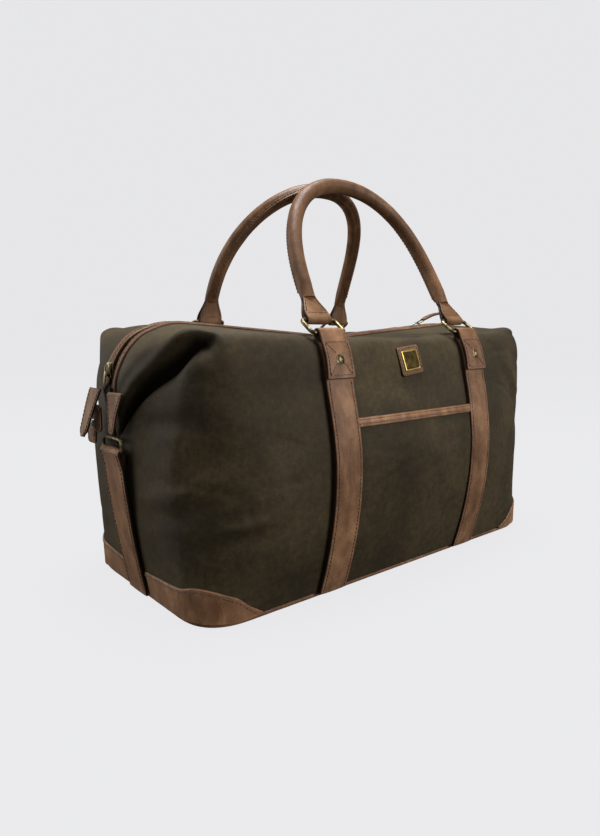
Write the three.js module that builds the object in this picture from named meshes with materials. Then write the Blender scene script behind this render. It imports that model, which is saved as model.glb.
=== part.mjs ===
// Weekender bag in waxed canvas with leather trim, brass rings and two rolled handles.
// Millimetres, +Z up. X runs along the bag, -Y is the front. The origin is the middle of
// the underside, so the bag stands on Z = 0.
import * as THREE from 'three';

// ---------------------------------------------------------------- driving dimensions
const BASE_LENGTH = 498;          // underside, end seam to end seam
const BASE_WIDTH = 236;           // underside, front seam to back seam
const BASE_CORNER = 34;           // corner radius of the underside
const WALL_TOP = 150;             // height where the walls start to fold into the top
const CANVAS = 2.2;               // quilted canvas wall
const LINING = 0.9;               // lining cloth
const LEATHER = 2.0;              // trim leather
const STRAP_LEATHER = 2.5;        // doubled strap leather
const GAP = 0.4;                  // clearance between pieces that touch
const STRAP_X = 105;              // handle straps, centre line from the middle of the bag
const STRAP_WIDTH = 35;
const TAB_WIDTH = 34;             // leather tab that holds a handle ring
const TAB_BOTTOM = 214;           // height of the tab's lower edge
const WIRE = 4;                   // handle ring wire
const RING_INNER = 38;            // handle ring, inside width
const RING_REACH = 21;            // handle ring, bar to bar
const RING_TILT = 36;             // degrees above level, pointing inwards at rest
const ROLL = 16;                  // rolled handle diameter
const CORE = 9;                   // rope core inside the roll
const HANDLE_TOP = 419;           // height of the handle's centre line at its top
const FRONT_TOP_Y = -21;          // where the handles' tops rest, leaning together
const BACK_TOP_Y = 9;
const FRONT_LEAN = 0.85;          // below 1 leans early, above 1 leans late
const BACK_LEAN = 1.6;
const ROLL_START = 27;            // from the ring bar to the start of the roll
const END_STRAP_WIDTH = 36;
const END_RING_INNER = 38;
const END_RING_REACH = 13;
const END_WIRE = 3.2;
const POCKET_HALF = 86;           // slip pocket, half of its width between the straps
const POCKET_TOP = 176;
const POCKET_GAP = 7.0;           // how far the pocket's mouth stands open
const ZIP_RISE = 0.08;            // the zip line climbs from the middle towards both ends
const ZIP_MIDDLE = 250;           // height of the canvas beside the middle of the zip
const SLIDER_X = 160;

const COLOURS = {
  canvas: [0x3b3628, 0.8, 0],
  lining: [0x5d5340, 0.9, 0],
  leather: [0x6d4f3b, 0.6, 0],
  board: [0x8a7a60, 0.9, 0],
  rope: [0xb8a888, 0.9, 0],
  brass: [0x8c7b4e, 0.35, 1],
  badge: [0xa8924e, 0.35, 1],
  steel: [0xb9bcc2, 0.3, 1],
  tape: [0x2a2118, 0.85, 0],
};

const bag = new THREE.Group();
const V = (x, y, z) => new THREE.Vector3(x, y, z);
const lerp = THREE.MathUtils.lerp;
const rad = THREE.MathUtils.degToRad;

function add(name, geometry, colour) {
  const [color, roughness, metalness] = COLOURS[colour];
  const mesh = new THREE.Mesh(geometry, new THREE.MeshStandardMaterial({ color, roughness, metalness }));
  mesh.name = name;
  bag.add(mesh);
}

// ---------------------------------------------------------------- closed solids from grids
function solid(points, triangles) {
  let volume = 0;
  for (const [a, b, c] of triangles) {
    volume += points[a].dot(V(0, 0, 0).crossVectors(points[b], points[c]));
  }
  const facing = volume > 0 ? triangles : triangles.map(([a, b, c]) => [a, c, b]);
  const geometry = new THREE.BufferGeometry();
  const values = points.flatMap((p) => p.toArray());
  geometry.setAttribute('position', new THREE.Float32BufferAttribute(values, 3));
  geometry.setIndex(facing.flat());
  geometry.computeVertexNormals();
  return geometry;
}

// Sections are rings of points with the same count; the two ends are capped unless closed.
function loft(sections, closed = false) {
  const rows = sections.length;
  const n = sections[0].length;
  const triangles = [];
  const at = (i, j) => (i % rows) * n + (j % n);
  for (let i = 0; i < (closed ? rows : rows - 1); i += 1) {
    for (let j = 0; j < n; j += 1) {
      const [a, b, c, d] = [at(i, j), at(i + 1, j), at(i + 1, j + 1), at(i, j + 1)];
      triangles.push([a, b, c], [a, c, d]);
    }
  }
  if (!closed) {
    for (let j = 1; j < n - 1; j += 1) {
      triangles.push([at(0, 0), at(0, j), at(0, j + 1)]);
      triangles.push([at(rows - 1, 0), at(rows - 1, j + 1), at(rows - 1, j)]);
    }
  }
  return solid(sections.flat(), triangles);
}

// A sheet with thickness: an outer and an inner grid of the same size, joined at the rim.
function sheet(outer, inner) {
  const rows = outer.length;
  const n = outer[0].length;
  const half = rows * n;
  const at = (i, j) => i * n + j;
  const triangles = [];
  for (let i = 0; i < rows - 1; i += 1) {
    for (let j = 0; j < n - 1; j += 1) {
      const [a, b, c, d] = [at(i, j), at(i + 1, j), at(i + 1, j + 1), at(i, j + 1)];
      triangles.push([a, b, c], [a, c, d], [half + a, half + c, half + b], [half + a, half + d, half + c]);
    }
  }
  const rim = [];
  for (let j = 0; j < n - 1; j += 1) rim.push(at(0, j));
  for (let i = 0; i < rows - 1; i += 1) rim.push(at(i, n - 1));
  for (let j = n - 1; j > 0; j -= 1) rim.push(at(rows - 1, j));
  for (let i = rows - 1; i > 0; i -= 1) rim.push(at(i, 0));
  rim.forEach((a, k) => {
    const b = rim[(k + 1) % rim.length];
    triangles.push([a, b, half + b], [a, half + b, half + a]);
  });
  return solid([...outer.flat(), ...inner.flat()], triangles);
}

// A flat band along a path: width runs along `across`, thickness along `normals`.
function band(path, across, normals, widths, thickness) {
  return loft(path.map((p, i) => {
    const w = Array.isArray(widths) ? widths[i] : widths;
    const a = across.clone().multiplyScalar(w / 2);
    const n = normals[i].clone().multiplyScalar(thickness / 2);
    const corners = [[-1, -1], [1, -1], [1, 1], [-1, 1]];
    return corners.map(([x, y]) => p.clone().addScaledVector(a, x).addScaledVector(n, y));
  }));
}

// Normals of a path that lies in a plane, turned a quarter from its direction about `across`.
function planarNormals(path, across) {
  return path.map((p, i) => {
    const before = path[Math.max(i - 1, 0)];
    const after = path[Math.min(i + 1, path.length - 1)];
    return after.clone().sub(before).normalize().cross(across).normalize();
  });
}

// A round wire bent into a closed planar loop; `turn` rotates its many-sided section.
function wireLoop(path, radius, sides, planeNormal, turn = 0) {
  return loft(path.map((p, i) => {
    const before = path[(i + path.length - 1) % path.length];
    const after = path[(i + 1) % path.length];
    const out = after.clone().sub(before).normalize().cross(planeNormal).normalize();
    return Array.from({ length: sides }, (_, k) => {
      const a = turn + (2 * Math.PI * k) / sides;
      return p.clone()
        .addScaledVector(out, radius * Math.cos(a))
        .addScaledVector(planeNormal, radius * Math.sin(a));
    });
  }), true);
}

function boxSolid(centre, size, turn = [0, 0, 0]) {
  const geometry = new THREE.BoxGeometry(...size);
  geometry.applyMatrix4(new THREE.Matrix4().makeRotationFromEuler(new THREE.Euler(...turn)));
  geometry.translate(centre.x, centre.y, centre.z);
  return geometry;
}

// ---------------------------------------------------------------- the canvas surface
// Half of the front, from the middle of an end (station 0) to the middle of the front
// (station 10). Each wall row is a level rounded rectangle: height, half length, half width,
// corner radius, and how far its corners are drawn in along X and Y, because the walls bulge.
const WALL_ROWS = [
  [0, BASE_LENGTH / 2, BASE_WIDTH / 2, BASE_CORNER, 0, 0],
  [35, 256, 129, 40, 12, 8],
  [75, 262, 138, 48, 27, 18],
  [112, 265, 142, 54, 33, 23],
  [WALL_TOP, 266, 141, 56, 32, 24],
];
const FRONT_X = [190, 150, STRAP_X, 52, 0];
// The fold where the wall turns into the top. On the ends it drops as a tuck from the corner
// to the end strap.
const FOLD_ROW = [
  [270, 3, 158], [263, 36, 203], [250, 71, 232], [243, 92, 248], [232, 103, 254], [216, 109, 256],
  [190, 112, 255], [150, 113, 252], [STRAP_X, 113, 250], [52, 113, 249], [0, 113, 248],
];
// The crown between the fold and the zip, lobed at the ends.
const CROWN_ROW = [
  [273, 4, 180], [273, 22, 214], [264, 42, 238], [253, 60, 252], [239, 66, 259], [220, 65, 263],
  [190, 62, 261], [150, 60, 258], [STRAP_X, 58, 255], [52, 58, 252], [0, 58, 250],
];
const ZIP_END = [
  [273, 5, 200], [270, 5, 217], [263, 5, 235], [250, 5, 251], [234, 5, 260], [214, 5, 265.5],
];
const ZIP_ROW = [...ZIP_END, ...FRONT_X.map((x) => [x, 5, ZIP_MIDDLE + ZIP_RISE * x])];
const WALL_BULGE = 4;             // between the last wall row and the fold
const END_BULGE = 1;

function wallRow([z, a, b, r, drawX, drawY]) {
  const ends = [1, 36, 78].map((y) => [a, y]);
  const corner = [0.12, 0.5, 0.92].map((t) => {
    const angle = (t * Math.PI) / 2;
    return [a - r + r * Math.cos(angle), b - r + r * Math.sin(angle)];
  });
  const front = FRONT_X.map((x) => [x, b]);
  return [...ends, ...corner, ...front].map(([x, y]) => {
    const near = ((x / a) * (y / b)) ** 3;
    return [x * (1 - (drawX / a) * near), y * (1 - (drawY / b) * near), z];
  });
}

function bulgedRow(lower, upper) {
  return lower.map((p, i) => {
    const out = V(p[0] / 3, p[1], 0).normalize().multiplyScalar(WALL_BULGE);
    if (i < 3) out.set(END_BULGE, 0, 0);
    const q = upper[i];
    return [(p[0] + q[0]) / 2 + out.x, (p[1] + q[1]) / 2 + out.y, (p[2] + q[2]) / 2];
  });
}

const wallRows = WALL_ROWS.map(wallRow);
const NET = [...wallRows, bulgedRow(wallRows[4], FOLD_ROW), FOLD_ROW, CROWN_ROW, ZIP_ROW].map((row) => {
  const left = row.map(([x, y, z]) => V(-x, -y, z));
  const right = row.slice(0, -1).reverse().map(([x, y, z]) => V(x, -y, z));
  return [...left, ...right];
});
const U_MAX = NET[0].length - 1;  // 20 stations round the front, end to end
const V_MAX = NET.length - 1;     // rows from the base seam to the zip
const V_FOLD = V_MAX - 2;

function spline(points, t) {
  const last = points.length - 1;
  const i = Math.min(Math.floor(t), last - 1);
  const f = t - i;
  const p = [-1, 0, 1, 2].map((k) => points[THREE.MathUtils.clamp(i + k, 0, last)]);
  const weight = [
    -0.5 * f * f * f + f * f - 0.5 * f,
    1.5 * f * f * f - 2.5 * f * f + 1,
    -1.5 * f * f * f + 2 * f * f + 0.5 * f,
    0.5 * f * f * f - 0.5 * f * f,
  ];
  const out = V(0, 0, 0);
  weight.forEach((w, k) => out.addScaledVector(p[k], w));
  return out;
}

// A point of the outer canvas face on the front half (side -1) or the back half (side 1).
function face(side, u, v) {
  const p = spline(NET.map((row) => spline(row, u)), v);
  return side < 0 ? p : V(p.x, -p.y, p.z);
}

function faceNormal(side, u, v) {
  const step = 0.05;
  const du = face(side, Math.min(u + step, U_MAX), v).sub(face(side, Math.max(u - step, 0), v));
  const dv = face(side, u, Math.min(v + step, V_MAX)).sub(face(side, u, Math.max(v - step, 0)));
  return du.cross(dv).multiplyScalar(side < 0 ? 1 : -1).normalize();
}

const lift = (side, u, v, offset) => face(side, u, v).addScaledVector(faceNormal(side, u, v), offset);

function solve(f, low, high, target) {
  let [a, b] = [low, high];
  const rising = f(high) > f(low);
  for (let k = 0; k < 30; k += 1) {
    const m = (a + b) / 2;
    if ((f(m) < target) === rising) a = m; else b = m;
  }
  return (a + b) / 2;
}
const uAtX = (x) => solve((u) => face(-1, u, 2).x, 4, U_MAX - 4, x);
const vAtZ = (u, z) => solve((v) => face(-1, u, v).z, 0, V_FOLD, z);
const steps = (a, b, n) => Array.from({ length: n + 1 }, (_, i) => lerp(a, b, i / n));

function skin(side, us, vs, offset) {
  return vs.map((v) => us.map((u) => lift(side, u, v, offset)));
}

// ---------------------------------------------------------------- body
const LEFT_US = [0, 0.63, 1.2, 2, 2.6, 3, 3.35, 3.7, 4, 4.3, 4.65, 5, 5.5, 6, 7, 8, 9];
const LINING_LEFT_US = [0, 0.63, 1.2, 2, 3, 4, 5, 6, 8];
const fullWidth = (us) => [...us, U_MAX / 2, ...us.map((u) => U_MAX - u).reverse()];
const PANEL_US = fullWidth(LEFT_US);
const FOOT = 0.23;                // lower edge of the canvas, just above the piping
const PANEL_VS = [FOOT, 0.7, 1.3, 2, 3, 4, 5, 5.6, 6, 6.4, 7, 8];
const LINING_US = fullWidth(LINING_LEFT_US);
const LINING_VS = [0.35, 1.2, 2.5, 4, 5, 5.7, 6.2, 7, 7.78];
const LINING_DEPTH = 6.4;         // from the canvas face to the lining's outer face
const LINING_SEAM = 0.8;          // half of the gap between the two lining halves
const SIDES = { front: -1, back: 1 };
const ENDS = { left: -1, right: 1 };

for (const [name, side] of Object.entries(SIDES)) {
  const outer = skin(side, PANEL_US, PANEL_VS, 0);
  const inner = skin(side, PANEL_US, PANEL_VS, -CANVAS);
  add(`canvas_${name}`, sheet(outer, inner), 'canvas');
}

// The lining hangs inside as two halves, sewn together along the ends and under the board.
function liningHalf(side) {
  const inset = (p) => V(p.x, Math.sign(side) * Math.max(Math.abs(p.y), LINING_SEAM), p.z);
  const outer = skin(side, LINING_US, LINING_VS, -LINING_DEPTH).map((row) => row.map(inset));
  const inner = skin(side, LINING_US, LINING_VS, -LINING_DEPTH - LINING).map((row) => row.map(inset));
  return sheet(outer, inner);
}
for (const [name, side] of Object.entries(SIDES)) add(`lining_${name}`, liningHalf(side), 'lining');

function roundedOutline(halfLength, halfWidth, radius, arcSteps) {
  const points = [];
  const corners = [[1, 1, 0], [-1, 1, 90], [-1, -1, 180], [1, -1, 270]];
  for (const [sx, sy, start] of corners) {
    for (const a of steps(start, start + 90, arcSteps)) {
      const x = sx * (halfLength - radius) + radius * Math.cos(rad(a));
      const y = sy * (halfWidth - radius) + radius * Math.sin(rad(a));
      points.push([x, y]);
    }
  }
  return points;
}

function slab(halfLength, halfWidth, radius, z0, z1) {
  const outline = roundedOutline(halfLength, halfWidth, radius, 4);
  return loft([z0, z1].map((z) => outline.map(([x, y]) => V(x, y, z))));
}

const PIPING = 2.6;               // radius of the base piping
const PIPING_INSET = 2;           // its centre line, in from the base seam
const PANEL_INSET = 5.6;          // base canvas, in from the base seam
const PANEL_THICKNESS = 2;
const BOARD_INSET = 9;
const BOARD_THICKNESS = 3;
const BOARD_LOW = PANEL_THICKNESS + GAP;
const insetSlab = (inset, z0, z1) => slab(
  BASE_LENGTH / 2 - inset, BASE_WIDTH / 2 - inset, BASE_CORNER - inset, z0, z1,
);
add('base_panel', insetSlab(PANEL_INSET, 0, PANEL_THICKNESS), 'canvas');
add('base_board', insetSlab(BOARD_INSET, BOARD_LOW, BOARD_LOW + BOARD_THICKNESS), 'board');

const PIPING_SIDES = 6;
const pipingPath = roundedOutline(
  BASE_LENGTH / 2 - PIPING_INSET, BASE_WIDTH / 2 - PIPING_INSET, BASE_CORNER - PIPING_INSET, 5,
).map(([x, y]) => V(x, y, PIPING));
const piping = wireLoop(pipingPath, PIPING, PIPING_SIDES, V(0, 0, 1), Math.PI / PIPING_SIDES);
add('base_piping', piping, 'leather');

// Leather patches wrapped round the four bottom corners, from the end strap to the front.
// Each pair is a station and the height of the patch's upper edge there.
const PATCH_LEATHER = 1.2;
const PATCH_EDGE = [[0, 31], [2, 33], [3, 39], [4, 48], [4.65, 46], [5, 39], [5.5, 24], [6, 8]];
const PATCH_US = LEFT_US.filter((u) => u > 0.5 && u <= 6);
function patchHeight(u) {
  const k = PATCH_EDGE.findIndex(([start]) => start >= u);
  const [[u0, h0], [u1, h1]] = [PATCH_EDGE[k - 1], PATCH_EDGE[k]];
  return lerp(h0, h1, (u - u0) / (u1 - u0));
}
for (const [sideName, side] of Object.entries(SIDES)) {
  for (const [endName, end] of Object.entries(ENDS)) {
    const grid = (offset) => steps(0, 1, 3).map((f) => PATCH_US.map((u) => {
      const p = lift(side, u, lerp(FOOT, vAtZ(u, patchHeight(u)), f), offset);
      return V(-end * p.x, p.y, p.z);
    }));
    const patch = sheet(grid(2 * GAP + PATCH_LEATHER), grid(2 * GAP));
    add(`corner_patch_${sideName}_${endName}`, patch, 'leather');
  }
}

// ---------------------------------------------------------------- handle straps, tabs and rings
const ACROSS_X = V(1, 0, 0);
const ACROSS_Y = V(0, 1, 0);
const TAB_BACK = 2 * GAP + LEATHER / 2;                              // tab's leg behind the strap
const STRAP_OUT = TAB_BACK + LEATHER / 2 + GAP + STRAP_LEATHER / 2;  // strap between the tab's legs
const TAB_OUT = STRAP_OUT + STRAP_LEATHER / 2 + GAP + LEATHER / 2;   // tab's leg in front
const STRAP_LOW = 3 * GAP + PATCH_LEATHER + STRAP_LEATHER / 2;       // strap over the corner patches
const WIRE_CLEARANCE = 0.5;
const TAB_LOOP = WIRE / 2 + WIRE_CLEARANCE + LEATHER / 2;            // leather round a ring's bar
const BACK_LEG = 24;
const strapU = uAtX(-STRAP_X);

const foldPoint = lift(-1, strapU, V_FOLD, 0);
const wallLine = face(-1, strapU, V_FOLD).sub(face(-1, strapU, V_FOLD - 0.6)).normalize();
const wallOut = V(0, -wallLine.z, wallLine.y);
const BAR_RISE = 5.5;             // the ring's lower bar above the fold
const lowerBar = foldPoint.clone()
  .addScaledVector(wallOut, STRAP_OUT + 1)
  .addScaledVector(wallLine, BAR_RISE);
const ringAim = V(0, Math.cos(rad(RING_TILT)), Math.sin(rad(RING_TILT)));
const upperBar = lowerBar.clone().addScaledVector(ringAim, RING_REACH);

// Leather folded round a bar: down the front, over the top and a short way down the back.
function hairpin(bar, along, out, radius, frontLeg, backLeg, arcSteps) {
  const arc = steps(0, Math.PI, arcSteps).map((a) => bar.clone()
    .addScaledVector(out, radius * Math.cos(a)).addScaledVector(along, radius * Math.sin(a)));
  return [...frontLeg, ...arc, ...backLeg];
}

function tabPath() {
  const frontV = steps(vAtZ(strapU, TAB_BOTTOM), V_FOLD - 0.3, 5);
  const backV = steps(V_FOLD - 0.4, vAtZ(strapU, foldPoint.z - BACK_LEG), 5);
  const frontLeg = frontV.map((v) => lift(-1, strapU, v, TAB_OUT));
  const backLeg = backV.map((v) => lift(-1, strapU, v, TAB_BACK));
  return hairpin(lowerBar, wallLine, wallOut, TAB_LOOP, frontLeg, backLeg, 8);
}

function strapPath() {
  const vs = [0.24, 0.7, 1.3, 2, 2.7, 3.4, 4.1, 4.7, 5.2, 5.6, V_FOLD - 0.1];
  const offset = (v) => lerp(STRAP_LOW, STRAP_OUT, THREE.MathUtils.smoothstep(v, 2, 5));
  return vs.map((v) => lift(-1, strapU, v, offset(v)));
}

function mirrored(points, flipX, flipY) {
  return points.map((p) => V(flipX ? -p.x : p.x, flipY ? -p.y : p.y, p.z));
}

// A flat rectangular ring with round corners, standing on its lower bar.
function ringPath(innerWidth, reach, wire, lower, aim, across) {
  const half = (innerWidth + wire) / 2;
  const r = 3.2;
  const corners = [[1, 0, 270], [1, 1, 0], [-1, 1, 90], [-1, 0, 180]];
  return corners.flatMap(([sx, top, start]) => steps(start, start + 90, 3).map((a) => {
    const x = sx * (half - r) + r * Math.cos(rad(a));
    const y = (top ? reach - r : r) + r * Math.sin(rad(a));
    return lower.clone().addScaledVector(across, x).addScaledVector(aim, y);
  }));
}

const HANDLE = {
  front: { side: -1, topY: FRONT_TOP_Y, lean: FRONT_LEAN },
  back: { side: 1, topY: BACK_TOP_Y, lean: BACK_LEAN },
};
const ARCH_POWER = 0.68;          // how quickly the legs rise
const ARCH_SHAPE = 0.95;          // how square the shoulders are

function handlePoint({ side, topY, lean }, angle) {
  const t = Math.sin(angle) ** ARCH_POWER;
  const barY = side < 0 ? upperBar.y : -upperBar.y;
  const x = STRAP_X * Math.cos(angle) ** ARCH_SHAPE;
  return V(x, lerp(barY, topY, t ** lean), lerp(upperBar.z, HANDLE_TOP, t));
}

function handleLine(handle) {
  const half = steps(0, 1, 60).map((f) => handlePoint(handle, (f * f * (2 - f) * Math.PI) / 2));
  const bar = half[0];
  const leg = half.filter((p) => p.distanceTo(bar) > ROLL_START);
  const right = leg.filter((p, i) => i % 4 === 0 || i === leg.length - 1);
  const left = right.slice(0, -1).map((p) => V(-p.x, p.y, p.z));
  return [...left, ...right.reverse()];
}

function circle(radius, sides, direction) {
  return steps(0, sides - 1, sides - 1).map((k) => {
    const a = (direction * 2 * Math.PI * k) / sides;
    return new THREE.Vector2(radius * Math.cos(a), radius * Math.sin(a));
  });
}

function tube(path, radius, sides, bore, segments) {
  const section = new THREE.Shape(circle(radius, sides, 1));
  if (bore) section.holes.push(new THREE.Path(circle(bore, 8, -1)));
  return new THREE.ExtrudeGeometry(section, {
    steps: segments, extrudePath: new THREE.CatmullRomCurve3(path), bevelEnabled: false,
  });
}

function rivetHead(centre, out, radius, height) {
  const geometry = new THREE.CylinderGeometry(radius * 0.75, radius, height, 12);
  geometry.applyQuaternion(new THREE.Quaternion().setFromUnitVectors(V(0, 1, 0), out));
  geometry.translate(centre.x, centre.y, centre.z);
  return geometry;
}

const RIVET_HEIGHT = 230.5;
const RIVET_RADIUS = 5.2;
const RIVET_HEAD = 2;
const ROLL_NECK = 18;             // width of the leather where it is rolled up
const rivetV = vAtZ(strapU, RIVET_HEIGHT);
const strapLine = strapPath();
const tabLine = tabPath();
const HANDLE_SEGMENTS = 26;

// The flat end of a handle's leather, folded round the ring's upper bar and narrowing to the roll.
function handleTab(top, start) {
  const rise = V(0, start.y - top.y, start.z - top.z).normalize();
  const across = rise.clone().cross(ACROSS_X).normalize();
  const near = steps(1, 0.3, 3).map((f) => top.clone()
    .addScaledVector(rise, f * (ROLL_START - 3))
    .addScaledVector(across, lerp(TAB_LOOP, 1.6, f)));
  const far = near.map((p) => p.clone().sub(top).reflect(across).add(top)).reverse();
  const fold = hairpin(top, rise.clone().negate(), across, TAB_LOOP, near, far, 8);
  const share = (p) => Math.max(p.clone().sub(top).dot(rise), 0) / ROLL_START;
  const widths = fold.map((p) => lerp(TAB_WIDTH - 2, ROLL_NECK, share(p)));
  const leaning = fold.map((p) => p.clone().add(V((start.x - top.x) * share(p), 0, 0)));
  return band(leaning, ACROSS_X, planarNormals(fold, ACROSS_X), widths, LEATHER);
}

for (const [sideName, side] of Object.entries(SIDES)) {
  const line = handleLine(HANDLE[sideName]);
  add(`handle_${sideName}`, tube(line, ROLL / 2, 10, CORE / 2 + GAP, HANDLE_SEGMENTS), 'leather');
  add(`handle_core_${sideName}`, tube(line, CORE / 2, 8, 0, HANDLE_SEGMENTS), 'rope');
  for (const [endName, end] of Object.entries(ENDS)) {
    const place = (points) => mirrored(points, end > 0, side > 0);
    const path = place(strapLine);
    const strap = band(path, ACROSS_X, planarNormals(path, ACROSS_X), STRAP_WIDTH, STRAP_LEATHER);
    add(`strap_${sideName}_${endName}`, strap, 'leather');
    const loop = place(tabLine);
    const tab = band(loop, ACROSS_X, planarNormals(loop, ACROSS_X), TAB_WIDTH, LEATHER);
    add(`ring_tab_${sideName}_${endName}`, tab, 'leather');
    const out = faceNormal(side, strapU, rivetV);
    const [seat] = place([lift(-1, strapU, rivetV, TAB_OUT + LEATHER / 2 + GAP + RIVET_HEAD / 2)]);
    add(`ring_rivet_${sideName}_${endName}`, rivetHead(seat, out, RIVET_RADIUS, RIVET_HEAD), 'brass');

    const [bar, top] = place([lowerBar, upperBar]);
    const aim = V(0, -side * ringAim.y, ringAim.z);
    const ring = ringPath(RING_INNER, RING_REACH, WIRE, bar, aim, ACROSS_X);
    const ringFlat = aim.clone().cross(ACROSS_X).normalize();
    add(`handle_ring_${sideName}_${endName}`, wireLoop(ring, WIRE / 2, 6, ringFlat), 'brass');
    const start = V(end * Math.abs(line[0].x), line[0].y, line[0].z);
    add(`handle_tab_${sideName}_${endName}`, handleTab(top, start), 'leather');
  }
}

// ---------------------------------------------------------------- slip pocket and badge
const pocketUs = steps(uAtX(-POCKET_HALF), uAtX(POCKET_HALF), 6);
const POCKET_FOOT = 0.22;         // row of the pocket's sewn lower edge
const POCKET_CANVAS = 1.4;
const POCKET_TRIM = 1.6;          // bound leather edge along the mouth
const POCKET_TRIM_HEIGHT = 9;
const openness = (z) => 0.7 + POCKET_GAP * THREE.MathUtils.smoothstep(z, 40, POCKET_TOP - 20);
function pocketSkin(low, high, extra, count) {
  return steps(0, 1, count).map((f) => pocketUs.map((u) => {
    const z = lerp(low, high, f);
    return lift(-1, u, vAtZ(u, z), openness(z) + extra);
  }));
}
const pocketLow = face(-1, strapU, POCKET_FOOT).z;
const pocketFace = pocketSkin(pocketLow, POCKET_TOP, POCKET_CANVAS, 8);
add('pocket_panel', sheet(pocketFace, pocketSkin(pocketLow, POCKET_TOP, 0, 8)), 'canvas');
const trimSkin = (extra) => pocketSkin(
  POCKET_TOP - POCKET_TRIM_HEIGHT, POCKET_TOP + 0.5, POCKET_CANVAS + GAP + extra, 1,
);
add('pocket_trim', sheet(trimSkin(POCKET_TRIM), trimSkin(0)), 'leather');

const BADGE_Z = 228;
const BADGE_PATCH = [34, 2, 31];
const BADGE_PLATE = [24, 1.6, 21];
const badgeV = vAtZ(U_MAX / 2, BADGE_Z);
const badgeOut = faceNormal(-1, U_MAX / 2, badgeV);
const badgeTurn = [-Math.atan2(badgeOut.z, -badgeOut.y), 0, 0];
const badgeAt = (offset) => lift(-1, U_MAX / 2, badgeV, offset);
const plateOffset = 2 * GAP + BADGE_PATCH[1] + BADGE_PLATE[1] / 2;
add('badge_patch', boxSolid(badgeAt(GAP + BADGE_PATCH[1] / 2), BADGE_PATCH, badgeTurn), 'leather');
add('badge_plate', boxSolid(badgeAt(plateOffset), BADGE_PLATE, badgeTurn), 'badge');

// ---------------------------------------------------------------- zip
const ZIP_US = PANEL_US.filter((u) => u > 0.5 && u < U_MAX - 0.5);
const zipLine = ZIP_US.map((u) => {
  const p = face(-1, u, V_MAX);
  return V(p.x, 0, p.z);
});
const zipUp = planarNormals(zipLine, ACROSS_Y);
const zipAt = (y, offset) => zipLine.map((p, i) => p.clone()
  .addScaledVector(zipUp[i], offset)
  .add(V(0, y, 0)));
const CHAIN_WIDTH = 5;
const CHAIN_DEPTH = 3.8;          // middle of the teeth, below the canvas beside them
const TAPE_DEPTH = 4;
const TAPE_WIDTH = 7.6;
const TAPE = 0.8;
const EDGE_START = 5;             // from the middle of the zip to its leather edge
const EDGE_WIDTH = 9;
const EDGE_LEATHER = 1.6;
add('zip_chain', band(zipAt(0, -CHAIN_DEPTH), ACROSS_Y, zipUp, CHAIN_WIDTH, 2), 'brass');

// The leather edge lies on the crown, beside the zip.
function zipEdge(side, offset) {
  return [0, 1].map((f) => ZIP_US.map((u, i) => {
    const y = EDGE_START + EDGE_WIDTH * f;
    const v = solve((row) => Math.abs(face(side, u, row).y), V_MAX - 1, V_MAX, y);
    return face(side, u, v).addScaledVector(zipUp[i], offset);
  }));
}
for (const [name, side] of Object.entries(SIDES)) {
  const tapeY = side * (CHAIN_WIDTH / 2 + GAP + TAPE_WIDTH / 2);
  add(`zip_tape_${name}`, band(zipAt(tapeY, -TAPE_DEPTH), ACROSS_Y, zipUp, TAPE_WIDTH, TAPE), 'tape');
  const edge = sheet(zipEdge(side, 2 * GAP + EDGE_LEATHER), zipEdge(side, 2 * GAP));
  add(`zip_edge_${name}`, edge, 'leather');
}

function zipSpot(x) {
  const u = solve((k) => face(-1, k, V_MAX).x, 0, U_MAX, x);
  const p = face(-1, u, V_MAX);
  const along = face(-1, u + 0.1, V_MAX).sub(p).setY(0).normalize();
  return { at: V(p.x, 0, p.z), along, up: along.clone().cross(ACROSS_Y) };
}
const SLIDER = [17, 8.4, 5.2];
const SLIDER_RISE = 0.9;          // slider body's centre above the canvas line
const slider = zipSpot(SLIDER_X);
const sliderAt = slider.at.clone().addScaledVector(slider.up, SLIDER_RISE);
add('zip_slider', boxSolid(sliderAt, SLIDER, [0, -Math.atan2(slider.along.z, slider.along.x), 0]), 'brass');

const PULL_LENGTH = 72;
const PULL_WIDTH = 9;
const PULL_START = 3;             // along the zip from the slider's middle
const PULL_LOW = 6;
const PULL_ARCH = 16;
const pullPath = steps(0, 1, 8).map((f) => slider.at.clone()
  .addScaledVector(slider.along, PULL_START + PULL_LENGTH * f)
  .add(V(0, 0, PULL_LOW + PULL_ARCH * Math.sin(Math.PI * f * 0.85))));
const pull = band(pullPath, ACROSS_Y, planarNormals(pullPath, ACROSS_Y), PULL_WIDTH, LEATHER);
add('zip_pull', pull, 'leather');

// ---------------------------------------------------------------- end straps, rings and closing tabs
const END_FACE = -face(-1, 0, 5).x;
const END_BAR_Z = 147;
const END_LOOP = END_WIRE / 2 + WIRE_CLEARANCE + LEATHER / 2;   // leather round the ring's bar
const END_BAR_X = END_FACE + 2 * GAP + END_LOOP + LEATHER / 2;
const END_STRAP_LOW = GAP + 1.8 + LEATHER / 2;                  // strap over the corner patches
const END_STRAP_ROWS = [0.2, 0.6, 1.2, 2, 3, 3.5];
const PLATE_X = 278.4;            // inner face of the leather tabs beside the zip
const PLATE = 1.8;
const EAR_OUTLINE = [[-5, 204], [-34, 205], [-20, 184], [-15, 165], [-5, 165]];
const STUD_TAB_OUTLINE = [[10, 190], [10, 165], [24, 163], [26, 151], [45, 151], [44, 178], [30, 190]];
const TONGUE_TOP = 206;
const TONGUE_Y = 22;              // middle of the closing tab's sewn edge
const TONGUE_SWEEP = 10;          // how far its tip lies behind that
const TONGUE_DROP = 47;           // hanging length of the closing tab
const TONGUE_ROOT = 3;            // its sewn edge, out from the plates
const TONGUE_STAND = 9;           // how much farther its tip stands away
const TONGUE_WIDTHS = [22, 14];
const STUD_Y = 29;
const STUD_Z = 171;
const STUD_RADIUS = 4.5;
const STUD_HEAD = 1.6;
const CAP_RADIUS = 4;
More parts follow.
